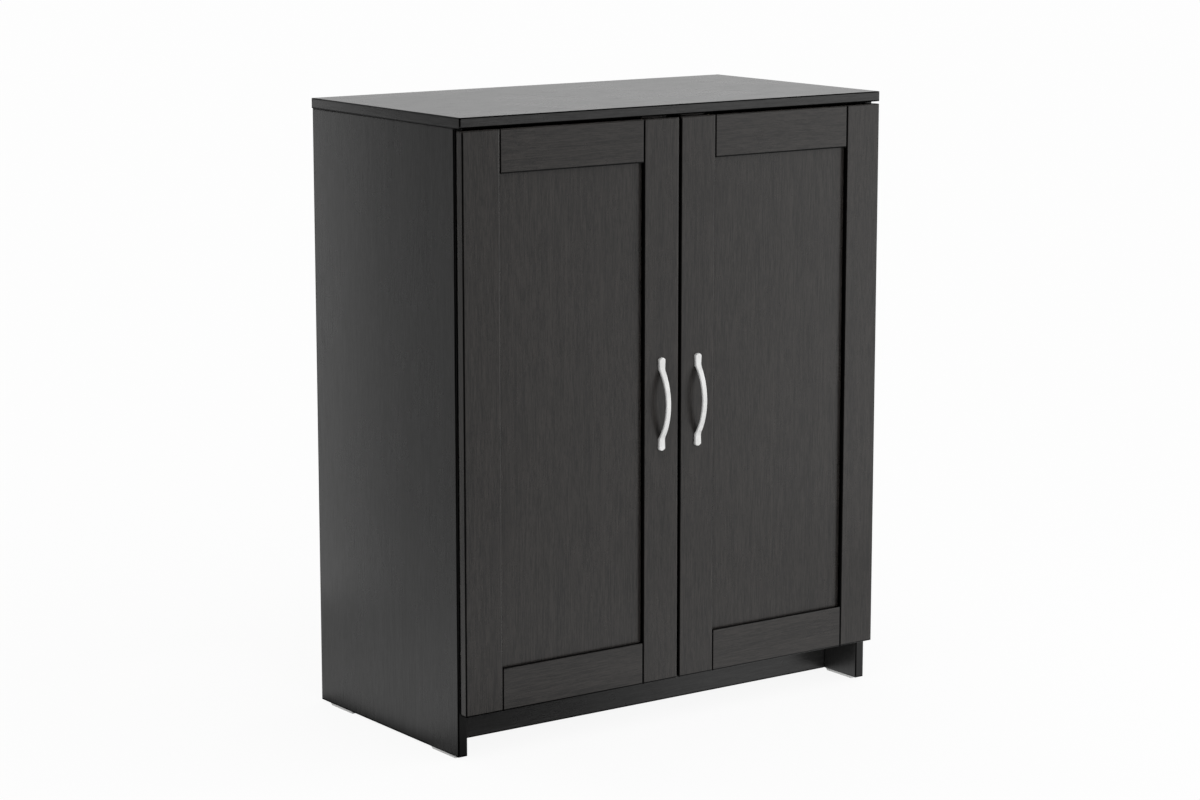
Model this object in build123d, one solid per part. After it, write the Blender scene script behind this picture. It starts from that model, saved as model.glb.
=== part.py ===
"""A two-door shoe cabinet: panel carcass on foot pads, framed doors on cup hinges, loose shelves.

Millimetres, +X to the right, +Z up, the front faces -Y. The origin is on the floor, under the
middle of the whole cabinet with its handles.
"""
import os

from build123d import *

# Carcass panels
PANEL_THICKNESS = 16.0
CARCASS_WIDTH = 798.0
SIDE_DEPTH = 402.0
SIDE_HEIGHT = 952.0
TOP_SIDE_OVERHANG = 1.0
TOP_FRONT_OVERHANG = 18.0
TOP_BACK_OVERHANG = 1.0
EDGE_ROUND = 0.8
KICK_HEIGHT = 66.0
KICK_SETBACK = 80.0

# Thin back in two halves
BACK_THICKNESS = 3.0
BACK_REBATE_DEPTH = 4.5
BACK_REBATE_WIDTH = 8.0
BACK_EDGE_PLAY = 0.5
STRIP_WEB = 1.2
STRIP_FLANGE_WIDTH = 16.0
STRIP_FLANGE_THICKNESS = 1.0
NAIL_RADIUS = 0.7
NAIL_LENGTH = 16.0
NAIL_HEAD_RADIUS = 1.8
NAIL_HEAD_THICKNESS = 0.8
NAIL_PITCH = 120.0
NAIL_MARGIN = 30.0

# Loose shelves
SHELF_COUNT = 4
SHELF_FRONT_SETBACK = 22.0
SHELF_BACK_PLAY = 3.0
SHELF_END_PLAY = 0.8
SHELF_PIN_RADIUS = 2.5
SHELF_PIN_SEAT = 9.0
SHELF_PIN_REACH = 8.0
SHELF_PIN_PLAY = 0.05
SHELF_PIN_INSET = 45.0
SHELF_HOLE_PITCH = 32.0
SHELF_HOLES_PER_PIN = 3

# Hidden joints between panels
CAM_RADIUS = 7.5
CAM_DEPTH = 12.5
CAM_DISTANCE = 34.0
CAM_INSET = 60.0
CAM_SLOT_WIDTH = 1.6
CAM_SLOT_DEPTH = 1.2
BOLT_RADIUS = 2.5
BOLT_HEAD_RADIUS = 3.2
BOLT_HEAD_LENGTH = 3.0
BOLT_CHANNEL_RADIUS = 4.0
BOLT_THREAD_LENGTH = 11.0
DOWEL_RADIUS = 4.0
DOWEL_REACH = 18.0
DOWEL_SEAT = 11.0
DOWEL_INSET = 110.0
HOLE_PLAY = 0.1
HOLE_END_PLAY = 0.4

# Corner blocks behind the kick board
BLOCK_SIZE = 22.0
BLOCK_SPACING = 250.0
BLOCK_SCREW_RADIUS = 1.75
BLOCK_SCREW_GRIP = 11.0
BLOCK_SCREW_OFFSET = 5.0
BLOCK_SCREW_HEAD_RADIUS = 3.2
BLOCK_SCREW_HEAD_THICKNESS = 1.8
BLOCK_EDGE_ROUND = 1.5

# Foot pads
PAD_LENGTH = 65.0
PAD_WIDTH = 14.0
PAD_THICKNESS = 4.0
PAD_STEP_HEIGHT = 2.4
PAD_STEP_INSET = 1.0
PAD_FRONT_INSET = 12.0
PAD_BACK_INSET = 26.0
PAD_NAIL_SPACING = 40.0
PAD_NAIL_RADIUS = 1.0
PAD_NAIL_HEAD_RADIUS = 2.5
PAD_NAIL_HEAD_THICKNESS = 1.0
PAD_NAIL_RECESS = 1.0
PAD_NAIL_GRIP = 14.0

# Framed doors
DOOR_THICKNESS = 16.0
DOOR_GAP = 4.5
DOOR_SIDE_INSET = 1.5
DOOR_TOP_GAP = 3.5
DOOR_BOTTOM_GAP = 0.5
DOOR_MEETING_GAP = 4.0
STILE_WIDTH = 66.0
RAIL_WIDTH = 66.0
FRAME_ROUND = 0.9
PANEL_RECESS = 7.5
DOOR_PANEL_THICKNESS = 5.0
GROOVE_DEPTH = 10.0
GROOVE_PLAY = 0.1
GROOVE_END_PLAY = 0.5

# Bow handles
HANDLE_HOLE_SPACING = 128.0
HANDLE_END_REACH = 9.0
HANDLE_FLAT_LENGTH = 19.0
HANDLE_THICKNESS = 4.0
HANDLE_RISE = 17.0
HANDLE_END_WIDTH = 12.0
HANDLE_MIDDLE_WIDTH = 8.8
HANDLE_END_BULGE = 3.5
HANDLE_CORNER_ROUND = 2.0
HANDLE_BEND_RADIUS = 12.0
HANDLE_EDGE_ROUND = 1.6
HANDLE_SCREW_RADIUS = 2.0
HANDLE_SCREW_GRIP = 2.8
HANDLE_SCREW_HEAD_RADIUS = 3.8
HANDLE_SCREW_HEAD_THICKNESS = 2.4

# Cup hinges, one pivot each
CUP_RADIUS = 17.5
CUP_DEPTH = 13.0
CUP_WALL = 1.2
CUP_FLOOR = 0.8
CUP_EDGE_DISTANCE = 3.0
CUP_FLANGE_THICKNESS = 1.2
CUP_FLANGE_RIM = 2.0
CUP_FLANGE_LENGTH = 62.0
CUP_FLANGE_WIDTH = 18.0
CUP_FLANGE_OFFSET = 8.0
CUP_FLANGE_ROUND = 6.0
CUP_SCREW_SPACING = 48.0
CUP_SCREW_RADIUS = 1.75
CUP_SCREW_LENGTH = 12.0
CUP_SCREW_HEAD_RADIUS = 3.2
CUP_SCREW_HEAD_THICKNESS = 1.6
PIVOT_EDGE_DISTANCE = 8.2
PIVOT_DEPTH = 9.0
PIVOT_PIN_RADIUS = 1.5
PIVOT_PIN_LENGTH = 18.0
PIVOT_BOSS_MARGIN = 2.2
ARM_EYE_RADIUS = 2.8
ARM_NOSE_WIDTH = 10.0
ARM_NOSE_PLAY = 0.5
ARM_THICKNESS = 3.0
ARM_STANDOFF = 5.5
ARM_WIDTH = 15.0
ARM_FLANGE_DEPTH = 3.0
ARM_FLANGE_THICKNESS = 1.5
ARM_FLANGE_START = 10.0
ARM_END = 62.0
ARM_SCREW_RADIUS = 2.5
ARM_SCREW_GRIP = 4.0
ARM_SCREW_HEAD_RADIUS = 4.2
ARM_SCREW_HEAD_THICKNESS = 2.2
PLATE_SETBACK = 37.0
PLATE_WING_LENGTH = 50.0
PLATE_WING_WIDTH = 14.0
PLATE_WING_THICKNESS = 2.0
PLATE_RIDGE_LENGTH = 44.0
PLATE_RIDGE_WIDTH = 10.0
PLATE_SCREW_SPACING = 32.0
PLATE_SCREW_RADIUS = 2.0
PLATE_SCREW_LENGTH = 12.0
PLATE_SCREW_HEAD_RADIUS = 3.4
PLATE_SCREW_HEAD_THICKNESS = 1.8

# Door stops and catches
BUMPER_RADIUS = 4.5
BUMPER_CONTACT_PLAY = 0.2
BUMPER_INNER_INSET = 24.0
BUMPER_SPACING = 200.0
CATCH_INSET = 35.0
CATCH_BODY_WIDTH = 26.0
CATCH_EAR_WIDTH = 10.0
CATCH_EAR_THICKNESS = 3.0
CATCH_DEPTH = 18.0
CATCH_HEIGHT = 15.0
CATCH_CONTACT_PLAY = 0.3
CATCH_SCREW_RADIUS = 1.5
CATCH_SCREW_GRIP = 10.0
CATCH_SCREW_HEAD_RADIUS = 2.8
CATCH_SCREW_HEAD_THICKNESS = 1.5
STRIKE_WIDTH = 32.0
STRIKE_HEIGHT = 11.0
STRIKE_THICKNESS = 1.5
STRIKE_STUD_RADIUS = 2.5
STRIKE_STUD_LENGTH = 8.0
STRIKE_TOP_INSET = 1.5

# Places that follow from the sizes above
LEFT = -1
RIGHT = 1
SIDES = {"left": LEFT, "right": RIGHT}
HANDLE_PROJECTION = HANDLE_THICKNESS + HANDLE_RISE
WHOLE_DEPTH = HANDLE_PROJECTION + DOOR_THICKNESS + DOOR_GAP + SIDE_DEPTH + TOP_BACK_OVERHANG
TOP_BACK = WHOLE_DEPTH / 2
SIDE_BACK = TOP_BACK - TOP_BACK_OVERHANG
SIDE_FRONT = SIDE_BACK - SIDE_DEPTH
TOP_FRONT = SIDE_FRONT - TOP_FRONT_OVERHANG
REBATE_FACE = SIDE_BACK - BACK_REBATE_DEPTH
SIDE_BOTTOM = PAD_THICKNESS
SIDE_TOP = SIDE_BOTTOM + SIDE_HEIGHT
SIDE_OUTER = CARCASS_WIDTH / 2
SIDE_INNER = SIDE_OUTER - PANEL_THICKNESS
BOTTOM_UNDERSIDE = SIDE_BOTTOM + KICK_HEIGHT
BOTTOM_FACE = BOTTOM_UNDERSIDE + PANEL_THICKNESS
KICK_FRONT = SIDE_FRONT + KICK_SETBACK
KICK_BACK = KICK_FRONT + PANEL_THICKNESS
KICK_DOWEL_ROW = (KICK_FRONT + KICK_BACK) / 2
KICK_MIDDLE = (SIDE_BOTTOM + BOTTOM_UNDERSIDE) / 2
BOTTOM_MIDDLE = (BOTTOM_UNDERSIDE + BOTTOM_FACE) / 2
SIDE_MIDDLE = (SIDE_OUTER + SIDE_INNER) / 2
COMPARTMENT_HEIGHT = (SIDE_TOP - BOTTOM_FACE - SHELF_COUNT * PANEL_THICKNESS) / (SHELF_COUNT + 1)
SHELF_FRONT = SIDE_FRONT + SHELF_FRONT_SETBACK
SHELF_BACK = REBATE_FACE - SHELF_BACK_PLAY
SHELF_PIN_ROWS = (SHELF_FRONT + SHELF_PIN_INSET, SHELF_BACK - SHELF_PIN_INSET)
CAM_ROWS = (SIDE_FRONT + CAM_INSET, REBATE_FACE - CAM_INSET)
DOWEL_ROWS = (SIDE_FRONT + DOWEL_INSET, REBATE_FACE - DOWEL_INSET)
BLOCK_PLACES = (-BLOCK_SPACING, 0.0, BLOCK_SPACING)
PAD_CENTRES = {
    "front": SIDE_FRONT + PAD_FRONT_INSET + PAD_LENGTH / 2,
    "back": SIDE_BACK - PAD_BACK_INSET - PAD_LENGTH / 2,
}
DOOR_BACK = SIDE_FRONT - DOOR_GAP
DOOR_FRONT = DOOR_BACK - DOOR_THICKNESS
DOOR_TOP = SIDE_TOP - DOOR_TOP_GAP
DOOR_BOTTOM = BOTTOM_UNDERSIDE + DOOR_BOTTOM_GAP
DOOR_MIDDLE = (DOOR_TOP + DOOR_BOTTOM) / 2
DOOR_OUTER = SIDE_OUTER - DOOR_SIDE_INSET
DOOR_INNER = DOOR_MEETING_GAP / 2
OPENING_OUTER = DOOR_OUTER - STILE_WIDTH
OPENING_INNER = DOOR_INNER + STILE_WIDTH
PANEL_FRONT = DOOR_FRONT + PANEL_RECESS
PANEL_BACK = PANEL_FRONT + DOOR_PANEL_THICKNESS
HANDLE_X = DOOR_INNER + STILE_WIDTH / 2
HANDLE_HOLES = (DOOR_MIDDLE - HANDLE_HOLE_SPACING / 2, DOOR_MIDDLE + HANDLE_HOLE_SPACING / 2)
HINGE_HEIGHTS = (BOTTOM_FACE + COMPARTMENT_HEIGHT / 2, SIDE_TOP - COMPARTMENT_HEIGHT / 2)
CUP_X = DOOR_OUTER - CUP_EDGE_DISTANCE - CUP_RADIUS
CUP_SCREW_X = CUP_X - CUP_FLANGE_OFFSET
PIVOT_X = DOOR_OUTER - PIVOT_EDGE_DISTANCE
PIVOT_Y = DOOR_BACK - PIVOT_DEPTH
PLATE_Y = SIDE_FRONT + PLATE_SETBACK
PLATE_FACE = SIDE_INNER - PLATE_WING_THICKNESS
ARM_OUTER = SIDE_INNER - ARM_STANDOFF
ARM_INNER = ARM_OUTER - ARM_THICKNESS
BUMPER_THICKNESS = DOOR_GAP - BUMPER_CONTACT_PLAY
BUMPER_PLACES = (DOOR_INNER + BUMPER_INNER_INSET, DOOR_INNER + BUMPER_INNER_INSET + BUMPER_SPACING)
CATCH_X = DOOR_INNER + CATCH_INSET
CATCH_FRONT = DOOR_BACK + STRIKE_THICKNESS + CATCH_CONTACT_PLAY
CATCH_SCREW_OFFSET = (CATCH_BODY_WIDTH + CATCH_EAR_WIDTH) / 2
STRIKE_TOP = DOOR_TOP - STRIKE_TOP_INSET


def block(xs, ys, zs):
    """A box between two X, two Y and two Z values, in either order."""
    size = [abs(pair[1] - pair[0]) for pair in (xs, ys, zs)]
    middle = [(pair[0] + pair[1]) / 2 for pair in (xs, ys, zs)]
    return Pos(*middle) * Box(*size)


def rod_x(radius, xs, y, z):
    """A cylinder along X."""
    return Pos((xs[0] + xs[1]) / 2, y, z) * Rot(0, 90, 0) * Cylinder(radius, abs(xs[1] - xs[0]))


def rod_y(radius, x, ys, z):
    """A cylinder along Y."""
    return Pos(x, (ys[0] + ys[1]) / 2, z) * Rot(90, 0, 0) * Cylinder(radius, abs(ys[1] - ys[0]))


def rod_z(radius, x, y, zs):
    """A cylinder along Z."""
    return Pos(x, y, (zs[0] + zs[1]) / 2) * Cylinder(radius, abs(zs[1] - zs[0]))


def rounded_block(xs, ys, zs, radius):
    """A box with all its edges rounded."""
    body = block(xs, ys, zs)
    return fillet(body.edges(), radius)


def shelf_underside(index):
    """Height of the underside of a shelf, counted from 0 at the bottom."""
    return BOTTOM_FACE + COMPARTMENT_HEIGHT * (index + 1) + PANEL_THICKNESS * index


def pin_height(index):
    """Height of the axis of the pins that carry a shelf."""
    return shelf_underside(index) - SHELF_PIN_RADIUS - SHELF_PIN_PLAY


def evenly(start, end, pitch):
    """Places from start to end at about the given pitch."""
    gaps = max(1, round((end - start) / pitch))
    return [start + (end - start) * step / gaps for step in range(gaps + 1)]


def shelf_pin_holes(side):
    """Rows of holes in a side panel, so that each shelf can sit at several heights."""
    radius = SHELF_PIN_RADIUS + HOLE_PLAY
    reach = SHELF_PIN_SEAT + HOLE_END_PLAY
    middle = (SHELF_HOLES_PER_PIN - 1) / 2
    holes = []
    for index in range(SHELF_COUNT):
        for step in range(SHELF_HOLES_PER_PIN):
            height = pin_height(index) + (step - middle) * SHELF_HOLE_PITCH
            for row in SHELF_PIN_ROWS:
                holes.append(rod_x(radius, (side * SIDE_INNER, side * (SIDE_INNER + reach)), row, height))
    return holes


def side_cam_holes(side):
    """Pockets for the top's cams in a side panel, and the channels of their bolts."""
    holes = []
    for row in CAM_ROWS:
        pocket = (side * SIDE_INNER, side * (SIDE_INNER + CAM_DEPTH))
        holes.append(rod_x(CAM_RADIUS + HOLE_PLAY, pocket, row, SIDE_TOP - CAM_DISTANCE))
        channel = (SIDE_TOP - CAM_DISTANCE, SIDE_TOP)
        holes.append(rod_z(BOLT_CHANNEL_RADIUS, side * SIDE_MIDDLE, row, channel))
    return holes


def side_joint_holes(side):
    """Holes in a side panel for dowels, the bottom's bolts, the hinge plates and the pad nails."""
    holes = []
    dowel_radius = DOWEL_RADIUS + HOLE_PLAY
    dowel_end = side * (SIDE_INNER + DOWEL_SEAT + HOLE_END_PLAY)
    for row in DOWEL_ROWS:
        top_run = (SIDE_TOP - DOWEL_REACH - HOLE_END_PLAY, SIDE_TOP)
        holes.append(rod_z(dowel_radius, side * SIDE_MIDDLE, row, top_run))
        holes.append(rod_x(dowel_radius, (side * SIDE_INNER, dowel_end), row, BOTTOM_MIDDLE))
    holes.append(rod_x(dowel_radius, (side * SIDE_INNER, dowel_end), KICK_DOWEL_ROW, KICK_MIDDLE))
    bolt_end = side * (SIDE_INNER + BOLT_THREAD_LENGTH + HOLE_END_PLAY)
    for row in CAM_ROWS:
        holes.append(rod_x(BOLT_RADIUS + HOLE_PLAY, (side * SIDE_INNER, bolt_end), row, BOTTOM_MIDDLE))
    screw_end = side * (PLATE_FACE + PLATE_SCREW_LENGTH + HOLE_END_PLAY)
    for height in HINGE_HEIGHTS:
        for offset in (-PLATE_SCREW_SPACING / 2, PLATE_SCREW_SPACING / 2):
            run = (side * SIDE_INNER, screw_end)
            holes.append(rod_x(PLATE_SCREW_RADIUS + HOLE_PLAY, run, PLATE_Y, height + offset))
    nail_run = (SIDE_BOTTOM, SIDE_BOTTOM + PAD_NAIL_GRIP + HOLE_END_PLAY)
    for centre in PAD_CENTRES.values():
        for offset in (-PAD_NAIL_SPACING / 2, PAD_NAIL_SPACING / 2):
            holes.append(rod_z(PAD_NAIL_RADIUS + HOLE_PLAY, side * SIDE_MIDDLE, centre + offset, nail_run))
    return holes


def back_nail_places():
    """X and Z of every nail in the thin back: up both sides and along the bottom panel."""
    side_x = SIDE_INNER + BACK_REBATE_WIDTH / 2
    heights = evenly(BOTTOM_FACE + NAIL_MARGIN, SIDE_TOP - NAIL_MARGIN, NAIL_PITCH)
    places = [(side * side_x, height) for side in (LEFT, RIGHT) for height in heights]
    widths = evenly(STRIP_FLANGE_WIDTH + NAIL_MARGIN, SIDE_INNER - NAIL_MARGIN, NAIL_PITCH)
    places += [(side * width, BOTTOM_MIDDLE) for side in (LEFT, RIGHT) for width in widths]
    return places


def back_nail_holes():
    """Holes for the shanks of the back's nails in the panels behind it."""
    run = (REBATE_FACE - NAIL_LENGTH - HOLE_END_PLAY, REBATE_FACE + BACK_THICKNESS)
    return [rod_y(NAIL_RADIUS + HOLE_PLAY, x, run, z) for x, z in back_nail_places()]


def side_panel(side):
    """A side panel with its back rebate and every hole that is bored in it."""
    body = rounded_block(
        (side * SIDE_INNER, side * SIDE_OUTER), (SIDE_FRONT, SIDE_BACK), (SIDE_BOTTOM, SIDE_TOP), EDGE_ROUND)
    rebate = block(
        (side * (SIDE_INNER - EDGE_ROUND), side * (SIDE_INNER + BACK_REBATE_WIDTH)),
        (REBATE_FACE, SIDE_BACK + EDGE_ROUND), (BOTTOM_UNDERSIDE, SIDE_TOP + EDGE_ROUND))
    holes = shelf_pin_holes(side) + side_cam_holes(side) + side_joint_holes(side)
    return body - rebate - holes - back_nail_holes()


def catch_screw_places():
    """X of the four screws that hold the two magnet catches."""
    offsets = (-CATCH_SCREW_OFFSET, CATCH_SCREW_OFFSET)
    return [side * CATCH_X + offset for side in (LEFT, RIGHT) for offset in offsets]


def top_panel():
    """The top, which overhangs the sides a little and the doors' thickness at the front."""
    reach = SIDE_OUTER + TOP_SIDE_OVERHANG
    body = rounded_block(
        (-reach, reach), (TOP_FRONT, TOP_BACK), (SIDE_TOP, SIDE_TOP + PANEL_THICKNESS), EDGE_ROUND)
    holes = []
    for side in (LEFT, RIGHT):
        for row in CAM_ROWS:
            run = (SIDE_TOP, SIDE_TOP + BOLT_THREAD_LENGTH + HOLE_END_PLAY)
            holes.append(rod_z(BOLT_RADIUS + HOLE_PLAY, side * SIDE_MIDDLE, row, run))
        for row in DOWEL_ROWS:
            run = (SIDE_TOP, SIDE_TOP + DOWEL_SEAT + HOLE_END_PLAY)
            holes.append(rod_z(DOWEL_RADIUS + HOLE_PLAY, side * SIDE_MIDDLE, row, run))
    for x in catch_screw_places():
        run = (SIDE_TOP, SIDE_TOP + CATCH_SCREW_GRIP + HOLE_END_PLAY)
        holes.append(rod_z(CATCH_SCREW_RADIUS + HOLE_PLAY, x, CATCH_FRONT + CATCH_DEPTH / 2, run))
    return body - holes


def bottom_panel():
    """The bottom, held between the sides by cams in its underside."""
    body = rounded_block(
        (-SIDE_INNER, SIDE_INNER), (SIDE_FRONT, REBATE_FACE), (BOTTOM_UNDERSIDE, BOTTOM_FACE), EDGE_ROUND)
    holes = back_nail_holes()
    cam_x = SIDE_INNER - CAM_DISTANCE
    for side in (LEFT, RIGHT):
        for row in CAM_ROWS:
            pocket = (BOTTOM_UNDERSIDE, BOTTOM_UNDERSIDE + CAM_DEPTH)
            holes.append(rod_z(CAM_RADIUS + HOLE_PLAY, side * cam_x, row, pocket))
            holes.append(rod_x(BOLT_CHANNEL_RADIUS, (side * cam_x, side * SIDE_INNER), row, BOTTOM_MIDDLE))
        for row in DOWEL_ROWS:
            run = (side * (SIDE_INNER - DOWEL_REACH - HOLE_END_PLAY), side * SIDE_INNER)
            holes.append(rod_x(DOWEL_RADIUS + HOLE_PLAY, run, row, BOTTOM_MIDDLE))
    grip = (BOTTOM_UNDERSIDE, BOTTOM_UNDERSIDE + BLOCK_SCREW_GRIP + HOLE_END_PLAY)
    for x in BLOCK_PLACES:
        run_y = KICK_BACK + BLOCK_SIZE / 2
        holes.append(rod_z(BLOCK_SCREW_RADIUS + HOLE_PLAY, x - BLOCK_SCREW_OFFSET, run_y, grip))
    return body - holes


def kick_board():
    """The board that closes the space under the bottom panel, set back from the front."""
    body = rounded_block(
        (-SIDE_INNER, SIDE_INNER), (KICK_FRONT, KICK_BACK), (SIDE_BOTTOM, BOTTOM_UNDERSIDE), EDGE_ROUND)
    holes = []
    for side in (LEFT, RIGHT):
        run = (side * (SIDE_INNER - DOWEL_REACH - HOLE_END_PLAY), side * SIDE_INNER)
        holes.append(rod_x(DOWEL_RADIUS + HOLE_PLAY, run, KICK_DOWEL_ROW, KICK_MIDDLE))
    grip = (KICK_BACK - BLOCK_SCREW_GRIP - HOLE_END_PLAY, KICK_BACK)
    for x in BLOCK_PLACES:
        height = BOTTOM_UNDERSIDE - BLOCK_SIZE / 2
        holes.append(rod_y(BLOCK_SCREW_RADIUS + HOLE_PLAY, x + BLOCK_SCREW_OFFSET, grip, height))
    return body - holes


def back_panel(side):
    """One half of the thin back, with its nail holes and sunk nail heads."""
    outer = SIDE_INNER + BACK_REBATE_WIDTH - BACK_EDGE_PLAY
    inner = STRIP_WEB / 2 + HOLE_PLAY
    body = block(
        (side * inner, side * outer), (REBATE_FACE, REBATE_FACE + BACK_THICKNESS),
        (BOTTOM_UNDERSIDE + BACK_EDGE_PLAY, SIDE_TOP - BACK_EDGE_PLAY))
    return body - back_nail_holes()


def back_joint_strip():
    """The H-shaped strip that joins the two halves of the back."""
    span = (BOTTOM_FACE + BACK_EDGE_PLAY, SIDE_TOP - BACK_EDGE_PLAY)
    half = STRIP_FLANGE_WIDTH / 2
    back_face = REBATE_FACE + BACK_THICKNESS
    web = block((-STRIP_WEB / 2, STRIP_WEB / 2), (REBATE_FACE, back_face), span)
    inner = block((-half, half), (REBATE_FACE - STRIP_FLANGE_THICKNESS, REBATE_FACE), span)
    outer = block((-half, half), (back_face, back_face + STRIP_FLANGE_THICKNESS), span)
    return web + inner + outer


def back_nails():
    """All the nails of the back, with their heads on its rear face."""
    face = REBATE_FACE + BACK_THICKNESS
    nails = []
    for x, z in back_nail_places():
        shank = rod_y(NAIL_RADIUS, x, (REBATE_FACE - NAIL_LENGTH, face), z)
        nails.append(shank + rod_y(NAIL_HEAD_RADIUS, x, (face, face + NAIL_HEAD_THICKNESS), z))
    return nails


def shelf(index):
    """A loose shelf on its four pins."""
    reach = SIDE_INNER - SHELF_END_PLAY
    underside = shelf_underside(index)
    return rounded_block(
        (-reach, reach), (SHELF_FRONT, SHELF_BACK), (underside, underside + PANEL_THICKNESS), EDGE_ROUND)


def shelf_pins():
    """Four pins under every shelf."""
    pins = []
    for index in range(SHELF_COUNT):
        for side in (LEFT, RIGHT):
            run = (side * (SIDE_INNER - SHELF_PIN_REACH), side * (SIDE_INNER + SHELF_PIN_SEAT))
            pins += [rod_x(SHELF_PIN_RADIUS, run, row, pin_height(index)) for row in SHELF_PIN_ROWS]
    return pins


def cam(bolt_run):
    """A cam lock at the origin with its face up, slotted for a driver, open for a bolt along bolt_run."""
    depth = CAM_DEPTH - HOLE_END_PLAY
    body = rod_z(CAM_RADIUS, 0, 0, (-depth, 0))
    half = CAM_RADIUS / 2
    cross = block((-half, half), (-CAM_SLOT_WIDTH / 2, CAM_SLOT_WIDTH / 2), (-CAM_SLOT_DEPTH, 0))
    cross += block((-CAM_SLOT_WIDTH / 2, CAM_SLOT_WIDTH / 2), (-half, half), (-CAM_SLOT_DEPTH, 0))
    return body - cross - rod_x(BOLT_CHANNEL_RADIUS, bolt_run, 0, -PANEL_THICKNESS / 2)


def cam_places():
    """Side and row of every cam of one level."""
    return [(side, row) for side in (LEFT, RIGHT) for row in CAM_ROWS]


def side_cams():
    """Cams in the inner faces of the sides, which pull the top down."""
    cams = []
    for side, row in cam_places():
        turn = Rot(0, -side * 90, 0)
        place = Pos(side * SIDE_INNER, row, SIDE_TOP - CAM_DISTANCE)
        cams.append(place * turn * cam((0, side * CAM_DISTANCE)))
    return cams


def top_cam_bolts():
    """Bolts screwed up into the top, with their heads in the cams of the sides."""
    bolts = []
    for side, row in cam_places():
        x = side * SIDE_MIDDLE
        head_end = SIDE_TOP - CAM_DISTANCE + BOLT_HEAD_LENGTH
        shank = rod_z(BOLT_RADIUS, x, row, (head_end, SIDE_TOP + BOLT_THREAD_LENGTH))
        bolts.append(shank + rod_z(BOLT_HEAD_RADIUS, x, row, (SIDE_TOP - CAM_DISTANCE, head_end)))
    return bolts


def bottom_cams():
    """Cams in the underside of the bottom panel, which pull the sides in."""
    cams = []
    for side, row in cam_places():
        place = Pos(side * (SIDE_INNER - CAM_DISTANCE), row, BOTTOM_UNDERSIDE)
        cams.append(place * Rot(180, 0, 0) * cam((0, side * CAM_DISTANCE)))
    return cams


def bottom_cam_bolts():
    """Bolts screwed into the sides, with their heads in the cams of the bottom panel."""
    bolts = []
    for side, row in cam_places():
        cam_x = SIDE_INNER - CAM_DISTANCE
        head_end = cam_x + BOLT_HEAD_LENGTH
        run = (side * head_end, side * (SIDE_INNER + BOLT_THREAD_LENGTH))
        shank = rod_x(BOLT_RADIUS, run, row, BOTTOM_MIDDLE)
        bolts.append(shank + rod_x(BOLT_HEAD_RADIUS, (side * cam_x, side * head_end), row, BOTTOM_MIDDLE))
    return bolts


def panel_dowels():
    """Wooden dowels: top to sides, bottom to sides and kick board to sides."""
    dowels = []
    for side in (LEFT, RIGHT):
        run = (side * (SIDE_INNER - DOWEL_REACH), side * (SIDE_INNER + DOWEL_SEAT))
        for row in DOWEL_ROWS:
            standing = (SIDE_TOP - DOWEL_REACH, SIDE_TOP + DOWEL_SEAT)
            dowels.append(rod_z(DOWEL_RADIUS, side * SIDE_MIDDLE, row, standing))
            dowels.append(rod_x(DOWEL_RADIUS, run, row, BOTTOM_MIDDLE))
        dowels.append(rod_x(DOWEL_RADIUS, run, KICK_DOWEL_ROW, KICK_MIDDLE))
    return dowels


def corner_blocks():
    """Plastic blocks in the corner behind the kick board."""
    blocks = []
    radius = BLOCK_SCREW_RADIUS + HOLE_PLAY
    ys = (KICK_BACK, KICK_BACK + BLOCK_SIZE)
    zs = (BOTTOM_UNDERSIDE - BLOCK_SIZE, BOTTOM_UNDERSIDE)
    for x in BLOCK_PLACES:
        body = rounded_block((x - BLOCK_SIZE / 2, x + BLOCK_SIZE / 2), ys, zs, BLOCK_EDGE_ROUND)
        body -= rod_z(radius, x - BLOCK_SCREW_OFFSET, KICK_BACK + BLOCK_SIZE / 2, zs)
        body -= rod_y(radius, x + BLOCK_SCREW_OFFSET, ys, BOTTOM_UNDERSIDE - BLOCK_SIZE / 2)
        blocks.append(body)
    return blocks


def corner_block_screws():
    """Two screws in each corner block, one up into the bottom and one into the kick board."""
    screws = []
    y = KICK_BACK + BLOCK_SIZE / 2
    z = BOTTOM_UNDERSIDE - BLOCK_SIZE / 2
    under = BOTTOM_UNDERSIDE - BLOCK_SIZE
    behind = KICK_BACK + BLOCK_SIZE
    head_under = (under - BLOCK_SCREW_HEAD_THICKNESS, under)
    head_behind = (behind, behind + BLOCK_SCREW_HEAD_THICKNESS)
    for place in BLOCK_PLACES:
        x = place - BLOCK_SCREW_OFFSET
        shank = rod_z(BLOCK_SCREW_RADIUS, x, y, (under, BOTTOM_UNDERSIDE + BLOCK_SCREW_GRIP))
        screws.append(shank + rod_z(BLOCK_SCREW_HEAD_RADIUS, x, y, head_under))
        x = place + BLOCK_SCREW_OFFSET
        shank = rod_y(BLOCK_SCREW_RADIUS, x, (KICK_BACK - BLOCK_SCREW_GRIP, behind), z)
        screws.append(shank + rod_y(BLOCK_SCREW_HEAD_RADIUS, x, head_behind, z))
    return screws


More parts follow.
